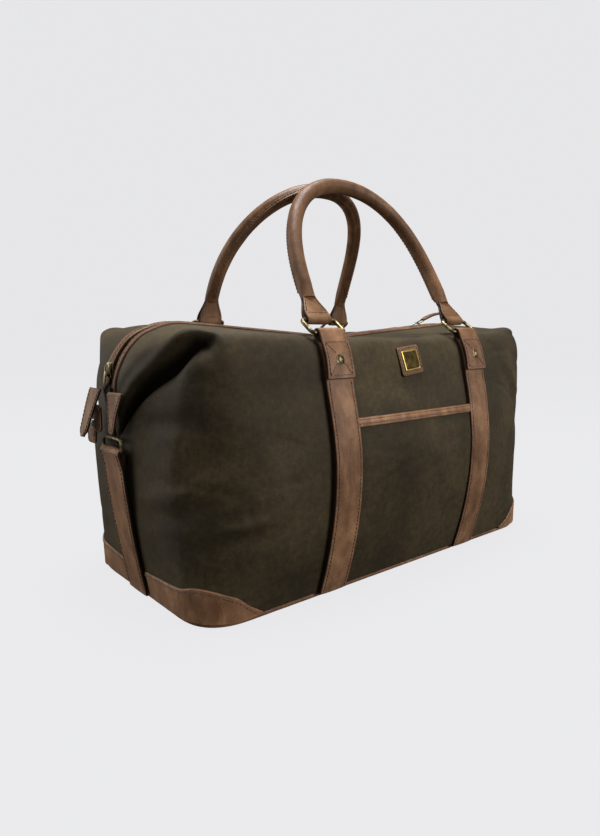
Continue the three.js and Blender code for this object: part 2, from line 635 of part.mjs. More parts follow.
const CAP_HEAD = 1.2;

function endStrapPath() {
  const top = END_STRAP_ROWS[END_STRAP_ROWS.length - 1];
  const front = END_STRAP_ROWS.map((v) => {
    const p = face(-1, 0, v);
    const offset = lerp(END_STRAP_LOW, END_BAR_X + END_LOOP - END_FACE, (v / top) ** 3);
    return V(-p.x + offset, 0, p.z);
  });
  const inner = END_BAR_X - END_LOOP;
  const back = [V(inner, 0, END_BAR_Z - 4), V(inner + 0.5, 0, END_BAR_Z - 14)];
  return hairpin(V(END_BAR_X, 0, END_BAR_Z), V(0, 0, 1), V(1, 0, 0), END_LOOP, front, back, 8);
}

// A flat piece of leather across the end, drawn in Y and Z.
function endPlate(outline, end) {
  const shape = new THREE.Shape(outline.map(([y, z]) => new THREE.Vector2(y, z)));
  const geometry = new THREE.ExtrudeGeometry(shape, { depth: PLATE, bevelEnabled: false });
  geometry.applyMatrix4(new THREE.Matrix4().makeBasis(V(0, 1, 0), V(0, 0, 1), V(1, 0, 0)));
  geometry.translate(end > 0 ? PLATE_X : -PLATE_X - PLATE, 0, 0);
  return geometry;
}

for (const [name, end] of Object.entries(ENDS)) {
  const path = mirrored(endStrapPath(), end < 0, false);
  const strap = band(path, ACROSS_Y, planarNormals(path, ACROSS_Y), END_STRAP_WIDTH, LEATHER);
  add(`end_strap_${name}`, strap, 'leather');
  const bar = V(end * END_BAR_X, 0, END_BAR_Z);
  const ring = ringPath(END_RING_INNER, END_RING_REACH, END_WIRE, bar, V(0, 0, 1), ACROSS_Y);
  add(`end_ring_${name}`, wireLoop(ring, END_WIRE / 2, 6, V(1, 0, 0)), 'brass');
  add(`zip_ear_${name}`, endPlate(EAR_OUTLINE, end), 'leather');
  add(`stud_tab_${name}`, endPlate(STUD_TAB_OUTLINE, end), 'leather');

  const tongueX = (f) => end * (PLATE_X + TONGUE_ROOT + TONGUE_STAND * f);
  const tonguePath = steps(0, 1, 5).map((f) => V(
    tongueX(f), TONGUE_Y + TONGUE_SWEEP * f, TONGUE_TOP - TONGUE_DROP * f,
  ));
  const tongue = band(tonguePath, ACROSS_Y, planarNormals(tonguePath, ACROSS_Y),
    steps(...TONGUE_WIDTHS, 5), LEATHER);
  add(`end_tongue_${name}`, tongue, 'leather');

  const stud = V(end * (PLATE_X + LEATHER + GAP + STUD_HEAD / 2), STUD_Y, STUD_Z);
  add(`press_stud_${name}`, rivetHead(stud, V(end, 0, 0), STUD_RADIUS, STUD_HEAD), 'steel');
  const tilt = Math.atan2(TONGUE_STAND, TONGUE_DROP);
  const inwards = V(-end * Math.cos(tilt), 0, -Math.sin(tilt));
  const cap = V(tongueX((TONGUE_TOP - STUD_Z) / TONGUE_DROP), STUD_Y, STUD_Z)
    .addScaledVector(inwards, (LEATHER + CAP_HEAD) / 2 + GAP);
  add(`stud_cap_${name}`, rivetHead(cap, inwards, CAP_RADIUS, CAP_HEAD), 'steel');
}

export default bag;
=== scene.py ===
"""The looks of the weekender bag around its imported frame. Metres, +Z up, -Y the front."""

import math

import bmesh
import bpy
import numpy as np
from mathutils import Matrix, Vector, noise


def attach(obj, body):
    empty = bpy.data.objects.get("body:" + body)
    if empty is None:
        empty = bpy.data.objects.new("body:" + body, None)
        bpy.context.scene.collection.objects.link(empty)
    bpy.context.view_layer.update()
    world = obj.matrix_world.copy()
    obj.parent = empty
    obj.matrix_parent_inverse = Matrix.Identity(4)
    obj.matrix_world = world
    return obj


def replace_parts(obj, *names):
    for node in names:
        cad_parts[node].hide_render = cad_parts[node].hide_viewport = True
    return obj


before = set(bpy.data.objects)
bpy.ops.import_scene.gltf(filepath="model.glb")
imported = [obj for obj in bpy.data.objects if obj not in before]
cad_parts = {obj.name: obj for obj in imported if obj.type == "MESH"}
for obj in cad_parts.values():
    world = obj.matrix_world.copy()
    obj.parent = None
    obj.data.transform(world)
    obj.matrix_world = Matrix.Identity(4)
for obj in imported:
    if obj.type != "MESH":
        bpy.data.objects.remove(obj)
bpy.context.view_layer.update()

MM = 0.001
FRONT, BACK = -1, 1
SIDES = {"front": FRONT, "back": BACK}
ENDS = {"left": -1, "right": 1}
AXIS_X = np.array([1.0, 0.0, 0.0])
AXIS_Y = np.array([0.0, 1.0, 0.0])
AXIS_Z = np.array([0.0, 0.0, 1.0])

# ------------------------------------------------------------------ camera, floor and light
CAMERA_AT = (-0.5034, -0.5506, 0.2617)
CAMERA_TILT = 81.72
CAMERA_YAW = -39.76
CAMERA_LENS = 26.63


def make_camera():
    data = bpy.data.cameras.new("camera")
    data.lens = CAMERA_LENS
    camera = bpy.data.objects.new("camera", data)
    camera.location = CAMERA_AT
    camera.rotation_euler = (math.radians(CAMERA_TILT), 0, math.radians(CAMERA_YAW))
    bpy.context.scene.collection.objects.link(camera)
    bpy.context.scene.camera = camera


def make_floor(material):
    """A pale round floor that curves up into a wall all the way round."""
    flat, bend, height, sides = 6.0, 2.5, 9.0, 72
    line = [(0.02, 0.0), (flat / 2, 0.0), (flat, 0.0)]
    for step in range(1, 13):
        a = math.pi / 2 * step / 12
        line.append((flat + bend * math.sin(a), bend * (1 - math.cos(a))))
    line.append((flat + bend, height))
    turns = [2 * math.pi * k / sides for k in range(sides)]
    verts = [(r * math.cos(a), r * math.sin(a), z) for r, z in line for a in turns]
    faces = grid_faces(len(line), sides, loop=True) + [tuple(range(sides))]
    mesh = bpy.data.meshes.new("studio_floor")
    mesh.from_pydata(verts, [], faces)
    mesh.polygons.foreach_set("use_smooth", [True] * len(faces))
    mesh.materials.append(material)
    floor = bpy.data.objects.new("studio_floor", mesh)
    floor.visible_diffuse = floor.visible_glossy = False
    bpy.context.scene.collection.objects.link(floor)


def make_light(name, place, aim, size, power):
    data = bpy.data.lights.new(name, "AREA")
    data.shape = "DISK"
    data.size = size
    data.energy = power
    light = bpy.data.objects.new(name, data)
    light.location = place
    light.rotation_euler = (Vector(aim) - Vector(place)).to_track_quat("-Z", "Y").to_euler()
    bpy.context.scene.collection.objects.link(light)


def make_world():
    world = bpy.data.worlds.new("studio")
    world.use_nodes = True
    background = world.node_tree.nodes["Background"]
    background.inputs["Color"].default_value = (0.97, 0.98, 1.0, 1)
    background.inputs["Strength"].default_value = 0.14
    bpy.context.scene.world = world
    bpy.context.scene.view_settings.view_transform = "Standard"


# ------------------------------------------------------------------ materials
class Graph:
    """A material's node tree, built by calls that link sockets or set values."""

    def __init__(self, name):
        self.material = bpy.data.materials.new(name)
        self.material.use_nodes = True
        self.tree = self.material.node_tree
        self.tree.nodes.clear()

    def add(self, kind, *inputs, **named):
        node = self.tree.nodes.new("ShaderNode" + kind)
        for key, value in named.items():
            if not key.startswith("in_"):
                setattr(node, key, value)
        for index, value in enumerate(inputs):
            self.feed(node.inputs[index], value)
        for key, value in named.items():
            if key.startswith("in_"):
                self.feed(node.inputs[key[3:].replace("_", " ")], value)
        return node

    def feed(self, socket, value):
        if isinstance(value, bpy.types.NodeSocket):
            self.tree.links.new(value, socket)
        elif value is not None:
            socket.default_value = value

    def math(self, operation, a, b=None, c=None, clamp=False):
        return self.add("Math", a, b, c, operation=operation, use_clamp=clamp).outputs[0]

    def scaled(self, vector, factors):
        return self.add("VectorMath", vector, factors, operation="MULTIPLY").outputs[0]

    def noise(self, vector, scale, detail=3.0, rough=0.55):
        node = self.add("TexNoise", in_Vector=vector, in_Scale=scale, in_Detail=detail, in_Roughness=rough)
        return node.outputs["Fac"]

    def ramp(self, factor, stops):
        node = self.add("ValToRGB", factor)
        elements = node.color_ramp.elements
        while len(elements) < len(stops):
            elements.new(0.5)
        for element, (place, colour) in zip(elements, stops):
            element.position = place
            element.color = (*colour, 1)
        return node.outputs[0]

    def levels(self, factor, low, high, out_low=0.0, out_high=1.0):
        node = self.add("MapRange", factor, low, high, out_low, out_high)
        return node.outputs[0]

    def mix(self, factor, a, b, blend="MIX"):
        node = self.add("Mix", data_type="RGBA", blend_type=blend)
        for socket, value in zip((node.inputs[0], node.inputs[6], node.inputs[7]), (factor, a, b)):
            self.feed(socket, (*value, 1) if isinstance(value, tuple) else value)
        return node.outputs[2]

    def bump(self, height, distance, strength=1.0, before=None):
        node = self.add("Bump", in_Strength=strength, in_Distance=distance, in_Height=height)
        if before is not None:
            self.feed(node.inputs["Normal"], before)
        return node.outputs[0]

    def finish(self, colour, roughness, normal=None, **named):
        shader = self.add("BsdfPrincipled")
        self.feed(shader.inputs["Base Color"], (*colour, 1) if isinstance(colour, tuple) else colour)
        self.feed(shader.inputs["Roughness"], roughness)
        if normal is not None:
            self.feed(shader.inputs["Normal"], normal)
        for key, value in named.items():
            self.feed(shader.inputs[key.replace("_", " ")], value)
        self.tree.links.new(shader.outputs[0], self.add("OutputMaterial").inputs[0])
        return self.material


def srgb(*colours):
    """The linear values of colours given in 0 to 255."""
    return [tuple(c / 255 / 12.92 if c < 11 else ((c / 255 + 0.055) / 1.055) ** 2.4 for c in colour)
            for colour in colours]


def weave_height(g, uv, pitch):
    """Over and under threads of a plain weave, as a height from 0 to 1."""
    parts = g.add("SeparateXYZ", g.scaled(uv, (1 / pitch, 1 / pitch, 1))).outputs
    x, y = parts[0], parts[1]
    over = g.math("PINGPONG", g.math("ADD", g.math("FLOOR", x), g.math("FLOOR", y)), 1.0)
    warp = g.math("ABSOLUTE", g.math("SINE", g.math("MULTIPLY", x, math.pi)))
    weft = g.math("ABSOLUTE", g.math("SINE", g.math("MULTIPLY", y, math.pi)))
    under = g.math("SUBTRACT", 1.0, over)
    warp = g.math("MULTIPLY", warp, g.math("ADD", g.math("MULTIPLY", over, 0.6), 0.4))
    weft = g.math("MULTIPLY", weft, g.math("ADD", g.math("MULTIPLY", under, 0.6), 0.4))
    return g.math("MAXIMUM", warp, weft)


def make_canvas(name, dark, mid, light, pitch=0.0007, rough=0.62):
    """Waxed cloth with a thread's pitch in metres. Where the edge attribute is high it is painted near black: painted
    shade in the tuck's fold valley, and dark rims on pads and slabs.
    """
    g, (dark, mid, light) = Graph(name), srgb(dark, mid, light)
    uv = g.add("UVMap", uv_map="cloth").outputs[0]
    spot = g.add("TexCoord").outputs["Object"]
    weave = weave_height(g, uv, pitch)
    slub_x = g.noise(g.scaled(uv, (60, 1400, 1)), 1.0, 2.0)
    slub_y = g.noise(g.scaled(uv, (1400, 60, 1)), 1.0, 2.0)
    slub = g.math("ADD", slub_x, slub_y)
    cloud = g.noise(spot, 9.0, 5.0, 0.6)
    speck = g.noise(spot, 160.0, 4.0, 0.7)
    wax = g.math("ADD", g.math("MULTIPLY", cloud, 0.65), g.math("MULTIPLY", speck, 0.35))
    colour = g.ramp(wax, [(0.4, dark), (0.51, mid), (0.64, light)])
    thread = g.levels(g.math("ADD", weave, slub), 0.7, 2.2, 0.66, 1.34)
    colour = g.mix(1.0, colour, g.add("CombineXYZ", thread, thread, thread).outputs[0], "MULTIPLY")
    edge_and_fold_shade = g.add("Attribute", attribute_name="edge").outputs["Fac"]
    # Painted shade: the edge attribute mixes the cloth toward near black, deepest in the tuck's fold valley.
    colour = g.mix(g.math("MULTIPLY", edge_and_fold_shade, 0.8), colour, (0.0035, 0.0026, 0.0015))
    roughness = g.levels(wax, 0.3, 0.7, rough - 0.08, rough + 0.12)
    fine = g.bump(g.math("ADD", weave, g.math("MULTIPLY", slub, 0.5)), 0.00012, 0.55)
    crumple = g.bump(g.noise(spot, 42.0, 4.0, 0.6), 0.0022, 0.35, fine)
    return g.finish(colour, roughness, crumple, Specular_IOR_Level=0.16, Sheen_Weight=0.03,
                    Sheen_Roughness=0.4, Sheen_Tint=(0.8, 0.66, 0.44, 1))


def make_leather(name, dark, mid, light, edge_colour, rough=0.5, grain=1.0):
    """Pull-up leather, rubbed lighter beside its edges and dark along the cut (edge)."""
    g, (dark, mid, light, edge_colour) = Graph(name), srgb(dark, mid, light, edge_colour)
    spot = g.add("TexCoord").outputs["Object"]
    edge = g.add("Attribute", attribute_name="edge").outputs["Fac"]
    shift = g.scaled(g.add("TexNoise", in_Vector=spot, in_Scale=30.0).outputs[1], (0.02, 0.02, 0.02))
    warped = g.add("VectorMath", spot, shift, operation="ADD").outputs[0]
    cloud = g.noise(warped, 26.0, 6.0, 0.62)
    streak = g.noise(g.scaled(warped, (90, 90, 18)), 1.0, 4.0, 0.6)
    tone = g.math("ADD", g.math("MULTIPLY", cloud, 0.6), g.math("MULTIPLY", streak, 0.4))
    colour = g.ramp(tone, [(0.34, dark), (0.5, mid), (0.68, light)])
    speck = g.levels(g.noise(spot, 900.0, 3.0, 0.6), 0.35, 0.65, 0.86, 1.1)
    colour = g.mix(1.0, colour, g.add("CombineXYZ", speck, speck, speck).outputs[0], "MULTIPLY")
    rub = g.math("MULTIPLY", g.levels(edge, 0.12, 0.4), g.levels(g.noise(spot, 120.0, 3.0), 0.4, 0.65))
    colour = g.mix(g.math("MULTIPLY", rub, 0.22), colour, light)
    colour = g.mix(g.levels(edge, 0.5, 0.9), colour, edge_colour)
    cells = g.add("TexVoronoi", in_Vector=spot, in_Scale=620.0, feature="SMOOTH_F1").outputs["Distance"]
    pores = g.bump(cells, 0.00022 * grain, 0.45)
    crease = g.bump(g.noise(g.scaled(warped, (1, 1, 0.5)), 150.0, 5.0, 0.65), 0.0011 * grain, 0.5, pores)
    roughness = g.levels(tone, 0.3, 0.7, rough + 0.1, rough - 0.05)
    return g.finish(colour, roughness, crease, Specular_IOR_Level=0.2, Sheen_Weight=0.03,
                    Sheen_Roughness=0.45, Sheen_Tint=(0.9, 0.72, 0.55, 1))


def make_metal(name, bright, dark, rough, patina):
    g, (bright, dark) = Graph(name), srgb(bright, dark)
    spot = g.add("TexCoord").outputs["Object"]
    stain = g.noise(spot, 170.0, 5.0, 0.65)
    scratch = g.noise(g.scaled(spot, (2500, 500, 900)), 1.0, 3.0)
    amount = g.levels(stain, patina - 0.14, patina + 0.16)
    colour = g.mix(amount, dark, bright)
    roughness = g.levels(g.math("ADD", amount, scratch), 0.4, 1.6, rough + 0.22, rough)
    normal = g.bump(g.math("ADD", stain, scratch), 0.00012, 0.4)
    return g.finish(colour, roughness, normal, Metallic=1.0)


def make_thread(name, colour, light):
    g, (colour, light) = Graph(name), srgb(colour, light)
    spot = g.add("TexCoord").outputs["Object"]
    tone = g.mix(g.levels(g.noise(spot, 700.0, 2.0), 0.35, 0.65), colour, light)
    twist = g.add("TexWave", in_Vector=spot, in_Scale=900.0, in_Distortion=1.0).outputs["Fac"]
    return g.finish(tone, 0.7, g.bump(twist, 0.00015, 0.5), Sheen_Weight=0.3)


def make_plain(name, colour, deep, scale, rough):
    g, (colour, deep) = Graph(name), srgb(colour, deep)
    spot = g.add("TexCoord").outputs["Object"]
    grain = g.noise(spot, scale, 4.0, 0.6)
    tone = g.mix(g.levels(grain, 0.35, 0.65), deep, colour)
    return g.finish(tone, rough, g.bump(grain, 0.0003, 0.4))


def make_glowing(name, colour, glow):
    """An evenly bright studio surface that still takes a faint shadow."""
    g = Graph(name)
    return g.finish(colour, 1.0, Emission_Color=(*glow, 1), Emission_Strength=1.0, Specular_IOR_Level=0.0)


CANVAS = make_canvas("canvas_waxed", (40, 33, 19), (53, 44, 28), (70, 59, 39))
LINING = make_canvas("lining_cotton", (96, 84, 62), (112, 98, 74), (124, 110, 84), 0.0006, 0.85)
LEATHER = make_leather("leather_brown", (86, 57, 37), (114, 81, 56), (154, 116, 84), (46, 29, 19))
TRIM_LEATHER = make_leather("leather_trim", (98, 66, 43), (130, 94, 66), (170, 130, 95), (52, 34, 22))
HANDLE_LEATHER = make_leather("leather_handle", (76, 50, 31), (104, 73, 48), (138, 102, 72), (44, 29, 20),
                              0.44, 0.8)
BRASS = make_metal("brass_antique", (156, 142, 106), (52, 43, 28), 0.3, 0.52)
BADGE_BRASS = make_metal("brass_badge", (196, 172, 96), (128, 106, 52), 0.28, 0.45)
PLATE_BRASS = make_metal("brass_plate", (84, 70, 38), (48, 40, 22), 0.46, 0.5)
ZIP_BRASS = make_metal("brass_zip", (140, 122, 78), (58, 48, 30), 0.34, 0.5)
STEEL = make_metal("steel_stud", (212, 212, 208), (130, 130, 128), 0.25, 0.42)
THREAD = make_thread("thread_brown", (58, 40, 28), (86, 63, 46))
TAPE = make_plain("zip_tape", (48, 38, 28), (30, 24, 18), 1500.0, 0.85)
BOARD = make_plain("board", (140, 124, 98), (116, 102, 80), 300.0, 0.9)
ROPE = make_plain("rope", (190, 172, 138), (150, 134, 104), 500.0, 0.9)
FLOOR = make_glowing("floor_paint", (0.02, 0.02, 0.02), (0.79, 0.79, 0.805))


# ------------------------------------------------------------------ meshes
def mesh_object(name, verts, faces, material, body, uv=None, edge=None, sharp=40.0):
    """A new piece from vertices and faces, riding on a body. uv and edge hold one value a vertex."""
    mesh = bpy.data.meshes.new(name)
    mesh.from_pydata(np.asarray(verts).tolist(), [], [tuple(int(i) for i in f) for f in faces])
    mesh.polygons.foreach_set("use_smooth", [True] * len(mesh.polygons))
    if sharp:
        mesh.set_sharp_from_angle(angle=math.radians(sharp))
    if uv is not None:
        loops = np.zeros(len(mesh.loops), int)
        mesh.loops.foreach_get("vertex_index", loops)
        mesh.uv_layers.new(name="cloth").data.foreach_set("uv", np.asarray(uv)[loops].ravel())
    if edge is not None:
        mesh.attributes.new("edge", "FLOAT", "POINT").data.foreach_set("value", np.asarray(edge, float))
    mesh.materials.append(material)
    piece = bpy.data.objects.new(name, mesh)
    bpy.context.scene.collection.objects.link(piece)
    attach(piece, body)
    return piece


def grid_faces(rows, columns, start=0, loop=False, flip=False):
    faces = []
    for i in range(rows - 1):
        for j in range(columns if loop else columns - 1):
            k = (j + 1) % columns
            face = (start + i * columns + j, start + i * columns + k,
                    start + (i + 1) * columns + k, start + (i + 1) * columns + j)
            faces.append(face[::-1] if flip else face)
    return faces


def end_faces(rows, columns, flip=False):
    """The two faces that close a bar made of rings of points."""
    last = (rows - 1) * columns
    faces = [tuple(reversed(range(columns))), tuple(last + k for k in range(columns))]
    return [face[::-1] for face in faces] if flip else faces


def cover(piece, node):
    """Shows a piece in place of a node of the frame, by hiding the frame's part."""
    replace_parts(piece, node)


def unit(vectors):
    return vectors / np.maximum(np.linalg.norm(vectors, axis=-1, keepdims=True), 1e-12)


def closed(line):
    """A line that ends where it starts."""
    return np.concatenate([line, line[:1]])


def travelled(points, axis=0):
    """Length along the points from the first one."""
    steps = np.linalg.norm(np.diff(points, axis=axis), axis=-1)
    start = np.zeros_like(np.take(steps, [0], axis=axis))
    return np.concatenate([start, np.cumsum(steps, axis=axis)], axis=axis)


def sampled(where, along, values):
    """Rows of values read off at places along a line."""
    return np.stack([np.interp(where, along, column) for column in np.asarray(values, float).T], -1)


def spaced(points, step, *others):
    """The same line with points an even step apart; other rows of values are carried along."""
    along = travelled(np.asarray(points, float))
    at = np.linspace(0, along[-1], max(int(round(along[-1] / step)), 2) + 1)
    out = [sampled(at, along, rows) for rows in (points, *others)]
    return out if others else out[0]


def basis(t, last):
    """Catmull-Rom weights of the control points 0 to last at each place t."""
    t = np.atleast_1d(np.asarray(t, float))
    i = np.clip(np.floor(t).astype(int), 0, last - 1)
    f = t - i
    weight = np.stack([
        -0.5 * f**3 + f**2 - 0.5 * f,
        1.5 * f**3 - 2.5 * f**2 + 1,
        -1.5 * f**3 + 2 * f**2 + 0.5 * f,
        0.5 * f**3 - 0.5 * f**2,
    ], -1)
    out = np.zeros((len(t), last + 1))
    for k in range(4):
        np.add.at(out, (np.arange(len(t)), np.clip(i + k - 1, 0, last)), weight[:, k])
    return out


def curve(points, count):
    """A smooth line through the points."""
    points = np.asarray(points, float)
    return basis(np.linspace(0, len(points) - 1, count), len(points) - 1) @ points


def tangents(path, loop=False):
    if loop:
        return unit(np.roll(path, -1, 0) - np.roll(path, 1, 0))
    return unit(np.gradient(path, axis=0))


def outward(path, across, toward):
    """The path's normals square to a direction across it, on the side that a direction points to."""
    out = unit(np.cross(tangents(path), across))
    return out * np.sign(out[5] @ np.asarray(toward))


def smoothstep(x, low, high):
    t = np.clip((np.asarray(x, float) - low) / (high - low), 0, 1)
    return t * t * (3 - 2 * t)


def bell(x, middle, width):
    return np.exp(-(((np.asarray(x, float) - middle) / width) ** 2))


def facing_out(piece):
    """Turns the faces of a closed piece outwards."""
    made = bmesh.new()
    made.from_mesh(piece.data)
    bmesh.ops.recalc_face_normals(made, faces=made.faces)
    made.to_mesh(piece.data)
    made.free()
    return piece


def pad(name, grid, normals, thickness, rim, sink, material):
    """A sheet lying on a surface (sizes in mm): its outer face falls to the surface at the rim."""
    rows, columns = grid.shape[:2]
    across, up = travelled(grid, 1), travelled(grid, 0)
    inner = np.minimum(np.minimum(across, across[:, -1:] - across), np.minimum(up, up[-1:] - up))
    height = thickness * MM * np.sqrt(1 - (1 - np.clip(inner / (rim * MM), 0, 1)) ** 2)
    verts = np.concatenate([grid + normals * height[..., None], grid - normals * sink * MM]).reshape(-1, 3)
    half = rows * columns
    faces = grid_faces(rows, columns) + grid_faces(rows, columns, half, flip=True)
    ring = [*range(columns), *(i * columns + columns - 1 for i in range(1, rows)),
            *((rows - 1) * columns + j for j in range(columns - 2, -1, -1)),
            *(i * columns for i in range(rows - 2, 0, -1))]
    faces += [(a, half + a, half + b, b) for a, b in zip(ring, ring[1:] + ring[:1])]
    uv = np.stack([across, up], -1).reshape(-1, 2)
    inner = inner.ravel()
    edge = np.where(inner < 1e-7, 1.0, 0.6 * np.exp(-inner / (1.2 * MM)))
    return facing_out(mesh_object(name, verts, faces, material, "bag", np.concatenate([uv, uv]),
                                  np.concatenate([edge, np.ones(half)])))


def ribbon(name, path, across, out, width, thickness, material, body="bag", groove=None, crown=0.0,
           edge_round=1.0):
    """A band along a path (sizes in mm): rounded edges, a slight crown, a groove under each stitch row."""
    half = np.broadcast_to(np.asarray(width, float), (len(path),)) / 2 * MM
    thick, crown, groove = thickness / 2 * MM, crown * MM, groove and groove * MM
    r = thick * edge_round
    insets = [r + 0.6 * MM, *(groove + d * MM for d in (-1.0, -0.5, 0.0, 0.5, 1.0) if groove),
              (groove or r) + 3 * MM]
    level, rows = np.zeros(len(path)), []

    def round_edge(side, first):
        for a in np.radians(np.linspace(first, first + 180, 7)):
            rows.append((side * (half - r) + r * math.cos(a), level + thick * math.sin(a),
                         0.55 + 0.45 * abs(math.cos(a))))

    def outer_face(side, places):
        for place in places:
            off = np.maximum(half - place, 0.0002)
            dip = 0.35 * MM * bell(place, groove, 0.45 * MM) if groove else 0.0
            rows.append((side * off, thick + crown * (1 - (off / half) ** 2) - dip,
                         0.5 * math.exp(-(place - r) / MM)))

    round_edge(1, -90)
    outer_face(1, insets)
    rows.append((level, level + thick + crown, 0.0))
    outer_face(-1, insets[::-1])
    round_edge(-1, 90)
    rows.append((level, level - thick, 0.0))
    section = np.stack([path + across * a[:, None] + out * h[:, None] for a, h, _ in rows], 1)
    faces = grid_faces(len(path), len(rows), loop=True) + end_faces(len(path), len(rows))
    uv = np.stack(np.broadcast_arrays(travelled(section[0])[None, :], travelled(path)[:, None]), -1)
    edge = np.tile([e for _, _, e in rows], (len(path), 1))
    edge[0], edge[-1] = 1, 1
    return facing_out(mesh_object(name, section.reshape(-1, 3), faces, material, body, uv.reshape(-1, 2),
                                  edge.ravel()))


def tube(name, path, side, up, radii, material, body="bag", loop=False, sides=16, shape=None, sharp=40.0):
    """A round or shaped bar along a path. side and up span the section; shape changes it by angle."""
    n = len(path)
    angle = np.linspace(0, 2 * math.pi, sides, endpoint=False)
    radii = np.broadcast_to(radii, (n,))[:, None]
    a, b = np.cos(angle) * radii, np.sin(angle) * radii
    if shape is not None:
        a, b = shape(a, b, angle)
    side, up = np.broadcast_to(side, path.shape), np.broadcast_to(up, path.shape)
    section = path[:, None] + side[:, None] * a[..., None] + up[:, None] * b[..., None]
    faces = [tuple(k % (n * sides) for k in face) for face in grid_faces(n + loop, sides, loop=True)]
    if not loop:
        faces += end_faces(n, sides)
    uv = np.stack(np.broadcast_arrays((angle * radii.mean())[None, :], travelled(path)[:, None]), -1)
    return facing_out(mesh_object(name, section.reshape(-1, 3), faces, material, body, uv.reshape(-1, 2),
                                  np.zeros(n * sides), sharp))


def stamp(template, faces, origin, x, y, z):
    """Copies of a small template at each origin, turned to the given axes: all verts and faces."""
    template = np.asarray(template, float)
    verts = origin[:, None] + sum(axis[:, None] * template[None, :, k:k + 1] for k, axis in enumerate((x, y, z)))
    shift = np.arange(len(origin)) * len(template)
    return verts.reshape(-1, 3), [tuple(i + s for i in f) for s in shift.tolist() for f in faces]


# ------------------------------------------------------------------ stitches
STITCH_PITCH, STITCH_LENGTH, STITCH_RADIUS = 4.2 * MM, 3.1 * MM, 0.42 * MM
# Place along the stitch and share of its radius.
STITCH_RINGS = [(-0.5, 0.35), (-0.34, 0.95), (0.0, 1.1), (0.34, 0.95), (0.5, 0.35)]
stitch_rows = {}


def sew(body, points, normals, lift=0.2 * MM):
    """Keeps a row of stitches along a line for the body that it rides on. One normal may serve all."""
    normals = np.broadcast_to(np.asarray(normals, float), points.shape)
    stitch_rows.setdefault(body, []).append((points, normals, lift))


def sew_edges(body, line, across, out, width, inset_by, rise):
    """A row of stitches along both edges of a band (sizes in mm)."""
    reach = (np.broadcast_to(width, (len(line),)) / 2 - inset_by) * MM
    for s in (-1, 1):
        sew(body, line + across * (s * reach)[:, None] + out * rise * MM, out)


def sew_across(body, at, across, out, width, inset_by, rise):
    """A row of stitches from edge to edge of a band (sizes in mm)."""
    reach = (width / 2 - inset_by) * MM
    sew(body, at + across * np.linspace(-reach, reach, 6)[:, None] + out * rise * MM, out)


def make_stitches():
    sides = 6
    template = [(x * STITCH_LENGTH, r * STITCH_RADIUS * math.cos(2 * math.pi * k / sides),
                 r * STITCH_RADIUS * math.sin(2 * math.pi * k / sides)) for x, r in STITCH_RINGS for k in range(sides)]
    faces = grid_faces(len(STITCH_RINGS), sides, loop=True, flip=True)
    faces += end_faces(len(STITCH_RINGS), sides, flip=True)
    for body, rows in stitch_rows.items():
        places, runs, ups = [], [], []
        for points, normals, lift in rows:
            line, up = spaced(points, STITCH_PITCH, normals)
            rise = unit((up[1:] + up[:-1]) / 2)
            places.append((line[1:] + line[:-1]) / 2 + rise * lift)
            runs.append(unit(line[1:] - line[:-1]))
            ups.append(rise)
        places, runs, ups = (np.concatenate(v) for v in (places, runs, ups))
        verts, made = stamp(template, faces, places, runs, unit(np.cross(ups, runs)), ups)
        facing_out(mesh_object(f"stitching_{body}", verts, made, THREAD, body, sharp=0))


# ------------------------------------------------------------------ the canvas surface
# The same control net as the design: rows from the base seam to the zip, stations from the
# middle of the left end round the front to the middle of the right end, in millimetres.
BASE_LENGTH, BASE_WIDTH, BASE_CORNER = 498, 236, 34
STRAP_X = 105
FRONT_X = [190, 150, STRAP_X, 52, 0]
# Height, half length, half width, corner radius, and how far the corners are drawn in along X and Y.
WALL_ROWS = [(0, BASE_LENGTH / 2, BASE_WIDTH / 2, BASE_CORNER, 0, 0), (35, 256, 129, 40, 12, 8),
             (75, 262, 138, 48, 27, 18), (112, 265, 142, 54, 33, 23), (150, 266, 141, 56, 32, 24)]
FOLD_ROW = [(270, 3, 158), (263, 36, 203), (250, 71, 232), (243, 92, 248), (232, 103, 254), (216, 109, 256),
            (190, 112, 255), (150, 113, 252), (105, 113, 250), (52, 113, 249), (0, 113, 248)]
CROWN_ROW = [(273, 4, 180), (273, 22, 214), (264, 42, 238), (253, 60, 252), (239, 66, 259), (220, 65, 263),
             (190, 62, 261), (150, 60, 258), (105, 58, 255), (52, 58, 252), (0, 58, 250)]
ZIP_END = [(273, 5, 200), (270, 5, 217), (263, 5, 235), (250, 5, 251), (234, 5, 260), (214, 5, 265.5)]
ZIP_MIDDLE, ZIP_RISE = 250, 0.08
WALL_BULGE, END_BULGE = 4, 1
FOOT = 0.23


def wall_row(z, a, b, r, draw_x, draw_y):
    angles = np.array([0.12, 0.5, 0.92]) * math.pi / 2
    x = np.array([a, a, a, *(a - r + r * np.cos(angles)), *FRONT_X])
    y = np.array([1, 36, 78, *(b - r + r * np.sin(angles)), *([b] * len(FRONT_X))])
    near = (x / a * y / b) ** 3
    return np.stack([x * (1 - draw_x / a * near), y * (1 - draw_y / b * near), np.full(len(x), z)], -1)


def make_net():
    walls = [wall_row(*row) for row in WALL_ROWS]
    fold = np.array(FOLD_ROW, float)
    bulged = (walls[-1] + fold) / 2
    for i, (x, y, _) in enumerate(walls[-1]):
        out = np.array([x / 3, y, 0])
        bulged[i] += (END_BULGE, 0, 0) if i < 3 else out / np.linalg.norm(out) * WALL_BULGE
    zip_row = np.array([*ZIP_END, *((x, 5, ZIP_MIDDLE + ZIP_RISE * x) for x in FRONT_X)], float)
    rows = np.stack([*walls, bulged, fold, np.array(CROWN_ROW, float), zip_row]) * MM
    softer = (rows[1:-3, 2:6] + rows[1:-3, 4:8]) / 2
    rows[1:-3, 3:7] += 0.4 * (softer - rows[1:-3, 3:7])
    left = rows * (-1, -1, 1)
    right = rows[:, -2::-1] * (1, -1, 1)
    return np.concatenate([left, right], 1)


